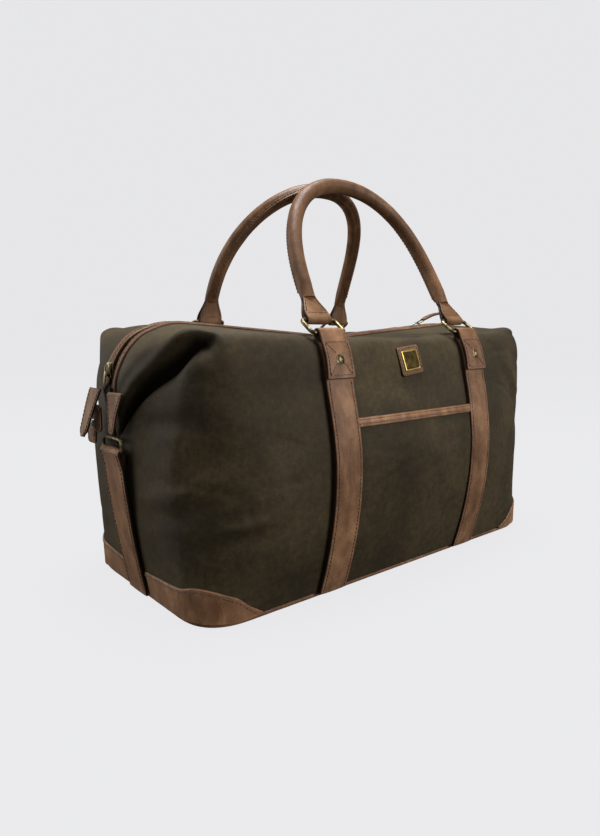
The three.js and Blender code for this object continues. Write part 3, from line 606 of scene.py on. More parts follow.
NET = make_net()
U_MAX, V_MAX = NET.shape[1] - 1, NET.shape[0] - 1
V_FOLD = V_MAX - 2


def turned(grid, side):
    return grid * (1, -side, 1)


def surface(side, us, vs):
    return turned(np.einsum("ij,jkc,lk->ilc", basis(vs, V_MAX), NET, basis(us, U_MAX)), side)


def spots(side, us, vs):
    return turned(np.einsum("ij,jkc,ik->ic", basis(vs, V_MAX), NET, basis(us, U_MAX)), side)


def surface_normals(side, us, vs, at=surface):
    us, vs, step = np.atleast_1d(us), np.atleast_1d(vs), 0.05
    du = at(side, np.minimum(us + step, U_MAX), vs) - at(side, np.maximum(us - step, 0), vs)
    dv = at(side, us, np.minimum(vs + step, V_MAX)) - at(side, us, np.maximum(vs - step, 0))
    return unit(np.cross(du, dv)) * -side


def lift_path(side, us, vs, offset):
    """Points on the surface, one for each pair of places, with their normals."""
    us, vs = np.broadcast_arrays(np.asarray(us, float), np.asarray(vs, float))
    normals = surface_normals(side, us, vs, spots)
    return spots(side, us, vs) + normals * np.broadcast_to(offset, us.shape)[:, None], normals


FRONT_STATIONS = np.linspace(4, U_MAX - 4, 600)
FRONT_STATION_X = spots(FRONT, FRONT_STATIONS, np.full(600, 2.0))[:, 0]
# Where the zip, its leather and the corner patches start beside the end strap.
END_START = 0.63


def u_at_x(x):
    return np.interp(x, FRONT_STATION_X, FRONT_STATIONS)


def v_at_z(us, zs):
    """The surface's row at each height: one height, one a station, or a column of them (m)."""
    us, zs, vs = np.atleast_1d(us), np.atleast_2d(zs), np.linspace(0, V_FOLD, 300)
    zs = np.broadcast_to(zs, (len(zs), len(us)))
    heights = surface(FRONT, us, vs)[..., 2]
    return np.stack([np.interp(zs[:, k], heights[:, k], vs) for k in range(len(us))], -1)


def field(points, scale, seed):
    """Smooth noise from -1 to 1 at each point, worked out on its own for each seed."""
    shift = Vector((seed * 7.31, seed * 3.17, seed * 5.77))
    flat = points.reshape(-1, 3) * scale
    values = [noise.noise(Vector(p) + shift) for p in flat.tolist()]
    return np.array(values).reshape(points.shape[:-1])


BADGE_AT = np.array([0, -0.118, 0.228])
TUCK_DEPTH, TUCK_LIP, TUCK_LOBE = 18.0, 1.0, 4.6
# Soft creases of the front: where, which way they run, half length, half width and height, in mm.
DENTS = [((-212, 91), (0.97, 0.24), 20, 6, 4.0), ((-206, 77), (0.94, 0.34), 24, 8, -4.0),
         ((-250, 122), (0.75, 0.66), 26, 8, 3.0), ((-246, 106), (0.75, 0.66), 24, 8, -2.6),
         ((205, 196), (0.6, -0.8), 30, 9, 2.6), ((192, 190), (0.6, -0.8), 30, 8, -2.2),
         ((-150, 190), (0.5, 0.87), 36, 12, 1.6), ((30, 110), (0.8, 0.6), 30, 12, 1.2)]


def tuck(side, u, v, at):
    """Where the end's tuck is held, each place's distance from its valley in rows, and the valley."""
    end_u, corner = np.minimum(u, U_MAX - u), np.sign(at[..., 0]) * 0.7 + side
    s = v - V_FOLD + 0.03 * np.sin(end_u * 2.3 + corner * 1.7) + 0.02 * field(at, 30, 6)
    reach = np.where((at[..., 0] > 0) & (side < 0), 6.8, 5.2 + 0.3 * corner)
    held = smoothstep(end_u, 0.12, 0.6) * (1 - smoothstep(end_u, 3.9 + 0.2 * corner, reach))
    return held, s, bell(s, 0, np.where(s > 0, 0.11, 0.26))


def relief(side, u, v, at):
    """How far the canvas stands off the plain surface: soft wrinkles and the tucks at the ends."""
    x, z, end_u = at[..., 0], at[..., 2], np.minimum(u, U_MAX - u)
    strap = np.abs(np.abs(x) - STRAP_X * MM)
    free = smoothstep(strap, 17 * MM, 60 * MM) * smoothstep(v, 0.2, 1.6) * smoothstep(V_MAX - v, 0.1, 1.0)
    free = free * smoothstep(end_u, 0.5, 1.6) * (1 - bell(np.linalg.norm(at - BADGE_AT, axis=-1), 0, 32 * MM))
    wrinkles = 3.0 * field(at, 9, 1 + side) + 1.0 * field(at * (1.0, 1.0, 0.5), 22, 4 + side)
    crease = bell(field(at * (1.0, 1.0, 1.6), 13, 8 + side), 0.08, 0.12)
    wrinkles -= 0.7 * crease * smoothstep(v, 0.6, 2.5)
    for (px, pz), (dx, dz), length, width, height in DENTS if side < 0 else ():
        along = (x - px * MM) * dx + (z - pz * MM) * dz
        off = (z - pz * MM) * dx - (x - px * MM) * dz
        wrinkles += height * bell(along, 0, length * MM) * bell(off, 0, width * MM)
    held, s, valley = tuck(side, u, v, at)
    lobe = TUCK_LOBE * np.where((x < 0) & (side < 0), 1.0, 0.35)
    keep = np.where((x > 0) & (side < 0), 0.15, 1.0)
    fold = keep * (TUCK_LIP * bell(s, -0.6, 0.3) - TUCK_DEPTH * valley) + lobe * bell(s, 0.42, 0.27)
    second = -3.0 * bell(s, -1.05 - 0.10 * end_u, 0.2)
    second = second * smoothstep(end_u, 1.0, 2.2) * (1 - smoothstep(end_u, 3, 4))
    beyond = smoothstep(end_u, 4.3, 6.2) * smoothstep(strap, 18 * MM, 50 * MM)
    edge = (2.0 * bell(v, V_FOLD - 0.05, 0.2) - 4.5 * bell(v, V_FOLD + 0.8, 0.45)) * beyond
    return (wrinkles * free + fold * held + second + edge) * MM


def cloth(side, us, vs, offset=0.0):
    """Points and normals of the wrinkled canvas, one for each pair of places, lifted by an offset (mm)."""
    us, vs = np.broadcast_arrays(np.asarray(us, float), np.asarray(vs, float))
    flat_u, flat_v = us.ravel(), vs.ravel()
    base = spots(side, flat_u, flat_v)
    normals = surface_normals(side, flat_u, flat_v, spots)
    lift = relief(side, flat_u, flat_v, base) + np.broadcast_to(offset, us.shape).ravel() * MM
    return (base + normals * lift[:, None]).reshape(*us.shape, 3), normals.reshape(*us.shape, 3)


LINING_SEAM = 0.8


def make_shell(part, side_name, side, depth, thickness, counts, first, last, material):
    """Half of the canvas or of the lining, from the base seam to the zip."""
    us, vs = np.linspace(0, U_MAX, counts[0]), np.linspace(first, last, counts[1])
    grid, _ = cloth(side, us[None, :], vs[:, None], -depth)
    if depth:
        grid[..., 1] = side * np.maximum(side * grid[..., 1], LINING_SEAM * MM)
    uv = np.stack([travelled(grid, 1), travelled(grid, 0)], -1)
    # The tuck's valley goes into the edge attribute, which the canvas paints near black as painted shade in the fold.
    held, _, valley = tuck(side, us[None, :], vs[:, None], grid)
    piece = mesh_object(f"{part}_cloth_{side_name}", grid.reshape(-1, 3),
                        grid_faces(len(vs), len(us), flip=side > 0), material, "bag", uv.reshape(-1, 2),
                        (held * valley).ravel(), sharp=0)
    thick = piece.modifiers.new("thickness", "SOLIDIFY")
    thick.thickness, thick.offset = thickness * MM, -1
    cover(piece, f"{part}_{side_name}")


# ------------------------------------------------------------------ straps, tabs, rings and rivets
LEATHER_THICK = 2.0
STRAP_WIDTH, STRAP_THICK, STRAP_SEAM = 35, 4.8, 3.6
TAB_WIDTH, TAB_BOTTOM = 34, 214
WIRE = 4.0
RING_INNER, RING_REACH, RING_TILT = 38, 21, 36
BAR_RISE = 5.5
GAP = 0.4
STRAP_OUT = 2 * GAP + LEATHER_THICK + GAP + 1.25
TAB_OUT = STRAP_OUT + 1.25 + GAP + LEATHER_THICK / 2
TAB_LOOP = WIRE / 2 + 0.5 + LEATHER_THICK / 2
strap_u = float(u_at_x(-STRAP_X * MM))
tab_v = float(v_at_z(strap_u, TAB_BOTTOM * MM)[0, 0])
# Share of the radius and of the height, from the rim to the dome.
HEAD_OUTLINE = [(0.96, 0.0), (1.0, 0.16), (0.97, 0.34), (0.86, 0.42), (0.78, 0.5), (0.62, 0.8), (0.36, 0.96)]


def bar_places():
    """The ring's lower and upper bars on the front left, and the wall's directions there."""
    at = spots(FRONT, [strap_u, strap_u], [V_FOLD, V_FOLD - 0.6])
    along = unit(at[0] - at[1])
    out = np.array([0, -along[2], along[1]])
    lower = at[0] + out * (STRAP_OUT + 1) * MM + along * BAR_RISE * MM
    aim = np.array([0, math.cos(math.radians(RING_TILT)), math.sin(math.radians(RING_TILT))])
    return lower, lower + aim * RING_REACH * MM, along, out, aim


LOWER_BAR, UPPER_BAR, WALL_ALONG, WALL_OUT, RING_AIM = bar_places()


def mirror(points, end, side):
    """Moves points from the front left to the given end and side."""
    return points * (-end, -side, 1)


def make_ring(name, inner, reach, wire, lower, aim, across, body, corner=5.0):
    """A flat wire ring with round corners that stands on its lower bar (sizes in mm)."""
    half, line = (inner + wire) / 2, []
    for sx, top, start in ((1, 0, 270), (1, 1, 0), (-1, 1, 90), (-1, 0, 180)):
        for a in np.radians(np.linspace(start, start + 90, 9)):
            x = sx * (half - corner) + corner * math.cos(a)
            y = (reach - corner if top else corner) + corner * math.sin(a)
            line.append(lower + (across * x + aim * y) * MM)
    line = spaced(closed(line), 1.6 * MM)[:-1]
    flat = unit(np.cross(aim, across))
    out = unit(np.cross(tangents(line, True), flat))
    return tube(name, line, out, flat, wire / 2 * MM, BRASS, body, True)


def dome(name, centre, out, radius, height, material, body="bag", sides=28):
    """A round metal head: a rim, a shoulder and a low dome (sizes in mm)."""
    out = unit(out)
    x = unit(np.cross(out, AXIS_X if abs(out[0]) < 0.8 else AXIS_Y))
    turn = np.linspace(0, 2 * math.pi, sides, endpoint=False)[:, None]
    spoke = x * np.cos(turn) + np.cross(out, x) * np.sin(turn)
    verts = [centre + (spoke * r * radius + out * h * height) * MM for r, h in HEAD_OUTLINE]
    verts = np.concatenate([*verts, [centre, centre + out * height * MM]])
    low = len(HEAD_OUTLINE) * sides
    faces = grid_faces(len(HEAD_OUTLINE), sides, loop=True)
    for k in range(sides):
        after = (k + 1) % sides
        faces += [(low, after, k), (low + 1, low - sides + k, low - sides + after)]
    return facing_out(mesh_object(name, verts, faces, material, body, sharp=50))


def ring_tab_line():
    """Up the front, round the ring's bar and down the back, for the front left."""
    front, _ = lift_path(FRONT, strap_u, np.linspace(tab_v, V_FOLD - 0.3, 14), TAB_OUT * MM)
    angles = np.linspace(0, math.pi, 17)[:, None]
    arc = LOWER_BAR + (np.cos(angles) * WALL_OUT + np.sin(angles) * WALL_ALONG) * TAB_LOOP * MM
    back, _ = lift_path(FRONT, strap_u, np.linspace(V_FOLD - 0.4, V_FOLD - 1.2, 6), (2 * GAP + 1) * MM)
    return np.concatenate([front, arc, back])


def make_strap(key, end, side):
    def wall(first, last, count):
        """The wall under the strap, with its outward normals."""
        line = mirror(spots(FRONT, np.full(count, strap_u), np.linspace(first, last, count)), end, side)
        return line, outward(line, AXIS_X, AXIS_Y * side)

    line, out = wall(0.24, V_FOLD - 0.1, 90)
    strap = ribbon(f"strap_{key}_leather", line + out * (STRAP_THICK / 2 - 0.1) * MM, AXIS_X, out, STRAP_WIDTH,
                   STRAP_THICK, LEATHER, groove=STRAP_SEAM, crown=0.5, edge_round=0.45)
    cover(strap, f"strap_{key}")
    line, out = wall(0.3, tab_v - 0.05, 60)
    sew_edges("bag", line, AXIS_X, out, STRAP_WIDTH, STRAP_SEAM, STRAP_THICK)


def make_ring_tab(key, end, side):
    line = spaced(curve(mirror(ring_tab_line(), end, side), 160), 1.3 * MM)
    out = outward(line, AXIS_X, AXIS_Y * side)
    length = travelled(line)
    width = TAB_WIDTH + 1.6 * bell(length, 0, 8 * MM) - 1.5 * bell(length, 46 * MM, 10 * MM)
    thick = LEATHER_THICK * 1.15
    tab = ribbon(f"ring_tab_{key}_leather", line, AXIS_X, out, width, thick, LEATHER, groove=3.0, crown=0.25)
    cover(tab, f"ring_tab_{key}")

    def at(distance, shift):
        """Points on the tab's outer face, from its lower edge and its middle line (mm), and normals."""
        p, n = (sampled(distance * MM, length, values) for values in (line, out))
        return p + AXIS_X * shift[..., None] * MM + n * (thick / 2 + 0.1) * MM, unit(n)

    low, high, half = 3.4, 35.0, TAB_WIDTH / 2 - 3.0
    t = np.linspace(0, 1, 12)
    for d0, d1, s0, s1 in ((low, low, -half, half), (high, high, -half, half), (low, high, -half, -half),
                           (low, high, half, half), (low, high, -half, half), (low, high, half, -half)):
        d, s = d0 + (d1 - d0) * t, s0 + (s1 - s0) * t
        diagonal = d0 != d1 and s0 != s1
        for part in (t < 0.4, t > 0.6) if diagonal else (t < 2,):
            sew("bag", *at(d[part], s[part]))
    seat, seat_out = at(np.float64(17.5), np.float64(0))
    rivet = dome(f"ring_rivet_{key}_cap", seat - seat_out * 0.2 * MM, seat_out, 5.0, 2.2, BRASS)
    cover(rivet, f"ring_rivet_{key}")


def make_handle_ring(key, end, side, body):
    ring = make_ring(f"handle_ring_{key}_wire", RING_INNER, RING_REACH, WIRE, mirror(LOWER_BAR, end, side),
                     turned(RING_AIM, side), AXIS_X, body)
    cover(ring, f"handle_ring_{key}")


# ------------------------------------------------------------------ rolled handles
ROLL, ROLL_START, HANDLE_TOP = 16.0, 27.0, 419
HANDLES = {FRONT: (-21, 0.85), BACK: (9, 1.6)}
ARCH_POWER, ARCH_SHAPE = 0.68, 0.95
TAB_WIDE, TAB_NARROW, TAB_SEAM = 30.5, 16.5, 2.6


def handle_line(side):
    """The middle line from the left ring's bar to the right one's."""
    top_y, lean = HANDLES[side]
    f = np.linspace(0, 1, 200)
    angle = f * f * (2 - f) * math.pi / 2
    t = np.sin(angle) ** ARCH_POWER
    bar_y = UPPER_BAR[1] * -side
    x = STRAP_X * MM * np.cos(angle) ** ARCH_SHAPE
    y = bar_y + (top_y * MM - bar_y) * t**lean
    z = UPPER_BAR[2] + (HANDLE_TOP * MM - UPPER_BAR[2]) * t
    half = np.stack([x, y, z], -1)
    half[-1, 0] = 0
    return spaced(np.concatenate([half * (-1, 1, 1), half[-2::-1]]), 2.5 * MM)


def make_handle(name, side):
    body, line = f"{name}_handle", handle_line(side)
    length = travelled(line)
    from_bar = np.minimum(length, length[-1] - length) / MM
    keep = from_bar > ROLL_START - 3
    path, reach = line[keep], from_bar[keep]
    run = tangents(path)
    inward = np.array([0.0, -side, 0.0])
    inward = unit(inward - run * (run @ inward)[:, None])
    wide = np.cross(run, inward)
    flat = 1 - smoothstep(reach, ROLL_START - 3, ROLL_START + 16)[:, None]
    seam = smoothstep(reach, ROLL_START + 3, ROLL_START + 5)[:, None]
    radius = ROLL / 2 * MM * (1 + 0.025 * field(path, 60, 3))

    def shape(a, b, angle):
        """a runs inwards, b across; the seam's two edges stand out on the inner side."""
        away = (angle + math.pi) % (2 * math.pi) - math.pi
        ridge = (2.6 * bell(away, 0, 0.30) - 0.8 * bell(away, 0, 0.07)) * MM
        return a * (1 - 0.33 * flat) + ridge * seam, b * (1 + 0.08 * flat)

    roll = tube(f"handle_{name}_roll", path, inward, wide, radius, HANDLE_LEATHER, body, sides=48, shape=shape,
                sharp=50)
    cover(roll, f"handle_{name}")
    sewn = reach > ROLL_START + 8
    for s in (-1, 1):
        way = unit(inward[sewn] * 0.94 + wide[sewn] * s * 0.34)
        sew(body, path[sewn] + way * (ROLL / 2 + 0.8) * MM, way, 0.0)
    for end_name, end in ENDS.items():
        make_handle_tab(f"{name}_{end_name}", end, side, line[::-end], body)


def make_handle_tab(key, end, side, line, body):
    """The flat end of the handle's leather, folded round the ring's upper bar. The line starts there."""
    top = mirror(UPPER_BAR, end, side)
    neck = sampled((ROLL_START + 3) * MM, travelled(line), line)
    rise = unit((neck - top) * (0, 1, 1))
    out = np.cross(rise, AXIS_X)
    out = out * np.sign(out[1] * side)
    reach = np.linalg.norm((neck - top)[1:])
    t = np.linspace(1, 0.22, 14)
    spread = 1.15 + (TAB_LOOP - 1.15) * (1 - t) ** 2
    near = top + rise * (t * reach)[:, None] + out * spread[:, None] * MM
    angles = np.linspace(0, math.pi, 15)[:, None]
    arc = top + (np.cos(angles) * out - np.sin(angles) * rise) * TAB_LOOP * MM
    far = near - 2 * out * ((near - top) @ out)[:, None]
    fold = spaced(curve(np.concatenate([near, arc, far[::-1]]), 180), 1.2 * MM)
    share = np.clip((fold - top) @ rise / reach, 0, 1)
    width = TAB_WIDE + (TAB_NARROW - TAB_WIDE) * smoothstep(share, 0.12, 0.95)
    lean = fold + AXIS_X * ((neck[0] - top[0]) * share)[:, None]
    normals = outward(fold, AXIS_X, out)
    tab = ribbon(f"handle_tab_{key}_leather", lean, AXIS_X, normals, width, LEATHER_THICK, HANDLE_LEATHER, body,
                 groove=TAB_SEAM, crown=0.2)
    cover(tab, f"handle_tab_{key}")
    along, turn = travelled(lean), reach - 6 * MM
    total = along[-1]
    for first, last, seam in ((2 * MM, turn, turn), (total - turn, total - 2 * MM, total - turn)):
        pick, k = (along > first) & (along < last), int(np.argmin(np.abs(along - seam)))
        sew_edges(body, lean[pick], AXIS_X, normals[pick], width[pick], TAB_SEAM, 1.05)
        sew_across(body, lean[k], AXIS_X, normals[k], width[k], TAB_SEAM, 1.05)


# ------------------------------------------------------------------ flat cut pieces
def rounded(points, radius, steps=6):
    """A polygon's outline, counter-clockwise, with each corner turned into a curve."""
    points, out = np.asarray(points, float), []
    after = np.roll(points, -1, 0)
    if (points[:, 0] * after[:, 1] - points[:, 1] * after[:, 0]).sum() < 0:
        points = points[::-1]
    for before, corner, after in zip(np.roll(points, 1, 0), points, np.roll(points, -1, 0)):
        a, b = before - corner, after - corner
        lengths = np.linalg.norm(a), np.linalg.norm(b)
        reach = min(radius, 0.45 * lengths[0], 0.45 * lengths[1])
        start, end = corner + a / lengths[0] * reach, corner + b / lengths[1] * reach
        for t in np.linspace(0, 1, steps):
            out.append((1 - t) ** 2 * start + 2 * t * (1 - t) * corner + t * t * end)
    return np.array(out)


def rectangle(width, height, radius, steps=6):
    x, y = width / 2, height / 2
    return rounded([(-x, -y), (x, -y), (x, y), (-x, y)], radius, steps)


def inset(outline, amount):
    run = unit(np.roll(outline, -1, 0) - np.roll(outline, 1, 0))
    return outline + np.stack([-run[:, 1], run[:, 0]], -1) * amount


# Layers of a flat piece from its back to its face: how far drawn in, and height (mm).
CUT_LEATHER = [(0.5, 0), (0.1, 0.3), (0, 0.8), (0.1, 1.3), (0.5, 1.7), (1.2, 1.8)]


def slab(name, outline, origin, x, y, layers, material, body="bag", sharp=40.0):
    """A flat piece cut to an outline (mm), built up in layers."""
    z, axes = np.cross(x, y), np.stack([x, y])
    rows = [origin + (inset(outline, amount) @ axes + z * height) * MM for amount, height in layers]
    n = len(outline)
    faces = grid_faces(len(layers), n, loop=True) + end_faces(len(layers), n)
    edge = np.repeat([1.0 if amount < 0.45 else 0.4 for amount, _ in layers], n)
    uv = np.tile(outline * MM, (len(layers), 1))
    return facing_out(mesh_object(name, np.concatenate(rows), faces, material, body, uv, edge, sharp))


def sew_round(outline, amount, at, x, y, out, rise):
    """Stitches round a flat piece, inside its outline (sizes in mm)."""
    sew("bag", at + (closed(inset(outline, amount)) @ np.stack([x, y]) + out * rise) * MM, out)


def level_outline(inset_by):
    """The bag's underside, drawn in from the base seam."""
    return rectangle(BASE_LENGTH - 2 * inset_by, BASE_WIDTH - 2 * inset_by, 1.35 * (BASE_CORNER - inset_by), 10)


# ------------------------------------------------------------------ base, piping and corner patches
PIPING, PIPING_INSET, PANEL_INSET = 2.6, 2, 5.6
PANEL_LAYERS = [(1.6, 0), (0.5, 0.3), (0, 1.0), (0.5, 1.8), (1.6, 2.0)]
# Station and height (mm) of the patches' upper edge.
PATCH_EDGE = [(0, 31), (2, 33), (3, 36.5), (3.5, 37), (4, 35), (4.65, 30), (5, 26), (5.5, 16), (6, 7)]
PATCH_LEATHER, PATCH_LIFT, PATCH_SEAM = 1.3, 0.5, 3.4


def make_base():
    panel = slab("base_panel_cloth", level_outline(PANEL_INSET), np.zeros(3), AXIS_X, AXIS_Y, PANEL_LAYERS, CANVAS)
    cover(panel, "base_panel")
    line = closed(level_outline(PIPING_INSET)) @ np.stack([AXIS_X, AXIS_Y]) * MM
    line = spaced(line, 4 * MM)[:-1] + AXIS_Z * PIPING * MM
    out = unit(np.cross(tangents(line, True), AXIS_Z))
    radii = PIPING * MM * (1 + 0.03 * field(line, 70, 5))
    piping = tube("base_piping_roll", line, out, AXIS_Z, radii, LEATHER, loop=True, sides=14)
    cover(piping, "base_piping")


def make_corner_patch(key, end, side):
    us = np.linspace(END_START, 6, 120)
    edge = np.interp(us, *curve(PATCH_EDGE, 120).T)
    top, low = (v_at_z(us, (edge - drop) * MM)[0] for drop in (0, PATCH_SEAM))
    foot = FOOT - 0.04
    stations = us if end < 0 else U_MAX - us
    grid, normals = cloth(side, stations[None, :], foot + (top - foot) * np.linspace(0, 1, 26)[:, None], PATCH_LIFT)
    patch = pad(f"corner_patch_{key}_leather", grid, normals, PATCH_LEATHER, 1.0, PATCH_LIFT, TRIM_LEATHER)
    cover(patch, f"corner_patch_{key}")
    keep = low > FOOT + 0.06
    sew("bag", *cloth(side, stations[keep], low[keep], PATCH_LIFT + PATCH_LEATHER))


# ------------------------------------------------------------------ slip pocket and badge
POCKET_HALF, POCKET_TOP, POCKET_GAP, POCKET_CANVAS = 89, 176, 7.0, 1.4
TRIM_HEIGHT, TRIM_THICK, TRIM_SEAM, TRIM_RISE = 9.6, 1.9, 2.9, 0.8
BADGE_SIZE, BADGE_RIM, BADGE_PLATE = (34, 31, 3.4), (24.6, 21.6, 3.0), (21.4, 18.4, 2.4)
BADGE_LEAN = -0.11
BADGE_LAYERS = [(0.3, 0), (0, 0.8), (0.1, 1.6), (0.6, 2.1), (1.6, 2.3), (2.2, 2.15), (2.8, 2.3)]
RIM_LAYERS = [(0.2, 0), (0, 0.5), (0.25, 1.0), (0.8, 1.3), (1.4, 1.25), (1.7, 0.8), (1.8, 0.5)]
PLATE_LAYERS = [(0, 0), (0, 0.25), (0.3, 0.45), (1.0, 0.55)]


def pocket_face(us, zs, extra):
    """The pocket's inner face over the cloth: sewn down at its foot and sides, loose at its mouth."""
    zs = np.asarray(zs, float)[:, None]
    x = spots(FRONT, us, np.full(len(us), 4.0))[:, 0] / (POCKET_HALF * MM)
    open_by = POCKET_GAP * smoothstep(zs, 40, POCKET_TOP - 20) * np.clip(1 - x**4, 0, 1)[None, :]
    return cloth(FRONT, us[None, :], v_at_z(us, zs * MM), 0.5 + 0.75 * open_by + extra)


def make_pocket():
    us = np.linspace(u_at_x(-POCKET_HALF * MM), u_at_x(POCKET_HALF * MM), 90)
    foot = float(spots(FRONT, [strap_u], [FOOT])[0, 2]) / MM
    panel = pad("pocket_panel_cloth", *pocket_face(us, np.linspace(foot, POCKET_TOP, 70), 0), POCKET_CANVAS, 1.0, 0.1,
                CANVAS)
    cover(panel, "pocket_panel")
    middle, normals = pocket_face(us, [POCKET_TOP - TRIM_HEIGHT / 2 + TRIM_RISE], POCKET_CANVAS + 0.3)
    above, _ = pocket_face(us, [POCKET_TOP + TRIM_RISE], POCKET_CANVAS + 0.3)
    middle, normals = spaced(middle[0], 1.4 * MM, normals[0])
    up = unit(spaced(above[0], 1.4 * MM)[:len(middle)] - middle)
    out = unit(normals)
    trim = ribbon("pocket_trim_leather", middle, up, out, TRIM_HEIGHT, TRIM_THICK, TRIM_LEATHER, groove=TRIM_SEAM,
                  crown=0.3)
    cover(trim, "pocket_trim")
    sew("bag", middle + (out * (TRIM_THICK / 2 + 0.1) - up * (TRIM_HEIGHT / 2 - TRIM_SEAM)) * MM, normals)


def make_badge():
    """A small leather patch with a framed blank plate."""
    at, out = (v[0] for v in cloth(FRONT, [U_MAX / 2], v_at_z(U_MAX / 2, BADGE_AT[2])[0]))
    up = unit(np.cross(out, AXIS_X) + BADGE_LEAN * AXIS_X)
    right = np.cross(up, out)
    outline = rectangle(*BADGE_SIZE)
    patch = slab("badge_patch_leather", outline, at - out * 0.3 * MM, right, up, BADGE_LAYERS, LEATHER)
    cover(patch, "badge_patch")
    rim_at = at + out * 1.9 * MM
    rim = slab("badge_frame", rectangle(*BADGE_RIM), rim_at, right, up, RIM_LAYERS, BADGE_BRASS)
    plate = slab("badge_plate_blank", rectangle(*BADGE_PLATE), rim_at + out * 0.35 * MM, right, up, PLATE_LAYERS,
                 PLATE_BRASS)
    cover(rim, "badge_plate")
    sew_round(outline, 1.9, at, right, up, out, 2.0)


# ------------------------------------------------------------------ zip, slider and pull
CHAIN_DEPTH, TAPE_DEPTH, CHAIN_WIDTH, TAPE_WIDTH = 3.8, 4, 5, 7.6
EDGE_START, EDGE_WIDTH, EDGE_LEATHER = 3.0, 11.0, 1.7
TOOTH_PITCH = 1.35
# A tooth's outline from its root to its tip, and the height and size of each of its levels.
TOOTH_OUTLINE = [(-0.42, -0.6), (0.42, -0.6), (0.42, 2.4), (-0.42, 2.4)]
TOOTH_LEVELS = [(-0.9, 0.9), (-0.5, 1.0), (0.5, 1.0), (0.9, 0.8)]
SLIDER_X, SLIDER_RISE = 160, 0.9
SLIDER_OUTLINE = [(-8.5, -2.6), (-5, -4.2), (3.5, -4.2), (8.5, -2.0), (8.5, 2.0), (3.5, 4.2), (-5, 4.2), (-8.5, 2.6)]
SLIDER_LAYERS = [(0.6, 0), (0.1, 0.3), (0, 0.8), (0.2, 1.3), (0.9, 1.6)]
PULL_START, PULL_LENGTH, PULL_LOW, PULL_ARCH, PULL_SEAM = 3, 72, 5.5, 9, 1.9
LEFT_SLIDER_AT = np.array([-0.2738, 0, 0.2235])
TAG_OUTLINE = [(-1.6, 0), (1.6, 0), (2.6, -10), (1.5, -13), (-1.5, -13), (-2.6, -10)]
TAG_LAYERS = [(0.4, -0.6), (0, -0.3), (0, 0.3), (0.4, 0.6)]


def zip_line(step):
    us = np.linspace(END_START, U_MAX - END_START, 260)
    line = spaced(spots(FRONT, us, np.full(260, float(V_MAX))) * (1, 0, 1), step)
    return line, np.cross(tangents(line), AXIS_Y)


def zip_spot(x):
    """A place on the zip's line, with its direction and its upward normal."""
    line, up = zip_line(1 * MM)
    k = int(np.argmin(np.abs(line[:, 0] - x)[40:-40])) + 40
    return line[k], tangents(line)[k], up[k]


def make_zip():
    line, up = zip_line(TOOTH_PITCH * MM)
    swing = np.where(np.arange(len(line)) % 2 == 0, 1.0, -1.0)[:, None] * AXIS_Y
    tooth = [(x * k, y * k + 0.2, h) for h, k in TOOTH_LEVELS for x, y in TOOTH_OUTLINE]
    faces = grid_faces(4, 4, loop=True) + end_faces(4, 4)
    verts, made = stamp(np.array(tooth) * MM, faces, line - up * CHAIN_DEPTH * MM, tangents(line), swing, up)
    teeth = facing_out(mesh_object("zip_teeth", verts, made, ZIP_BRASS, "bag", sharp=30))
    cover(teeth, "zip_chain")
    line, up = zip_line(4 * MM)
    us, vs = np.linspace(END_START, U_MAX - END_START, 260), np.linspace(V_MAX - 1.0, V_MAX, 40)
    ys = (EDGE_START + EDGE_WIDTH * np.linspace(0, 1, 11)) * MM
    for name, side in SIDES.items():
        shift = AXIS_Y * side * (CHAIN_WIDTH / 2 + 0.2 + TAPE_WIDTH / 2)
        tape = ribbon(f"zip_tape_{name}_cloth", line + (shift - up * TAPE_DEPTH) * MM, AXIS_Y, up, TAPE_WIDTH, 0.8,
                      TAPE)
        cover(tape, f"zip_tape_{name}")
        crown = np.abs(surface(side, us, vs)[..., 1])
        rows = np.stack([np.interp(-ys, -crown[:, k], vs) for k in range(len(us))], -1)
        grid, normals = cloth(side, us[None, :], rows, 0.5)
        edge = pad(f"zip_edge_{name}_leather", grid, normals, EDGE_LEATHER, 0.9, 0.4, LEATHER)
        cover(edge, f"zip_edge_{name}")
        for k in (4, 6):
            sew("bag", grid[k] + normals[k] * EDGE_LEATHER * MM, normals[k])


def make_slider(name, at, along, up, body, scale=1.0):
    """A zip slider: two shaped plates and the bridge that holds its pull. The upper plate is returned."""
    outline, across = rounded(SLIDER_OUTLINE, 1.8) * scale, np.cross(up, along)
    lower, upper = (slab(f"{name}_{part}", outline, at, along, across, [(a, low + h) for a, h in SLIDER_LAYERS],
                         BRASS, body) for part, low in (("lower", -2.6), ("upper", 0.4)))
    turn = np.linspace(0, math.pi, 13)[:, None]
    line = at + (np.cos(turn) * along * 6.0 + np.sin(turn) * up * 3.0 + up * 1.6) * scale * MM
    bridge = tube(f"{name}_bridge", line, across, unit(np.cross(tangents(line), across)), 0.95 * scale * MM, BRASS,
                  body, sides=10)
    return upper


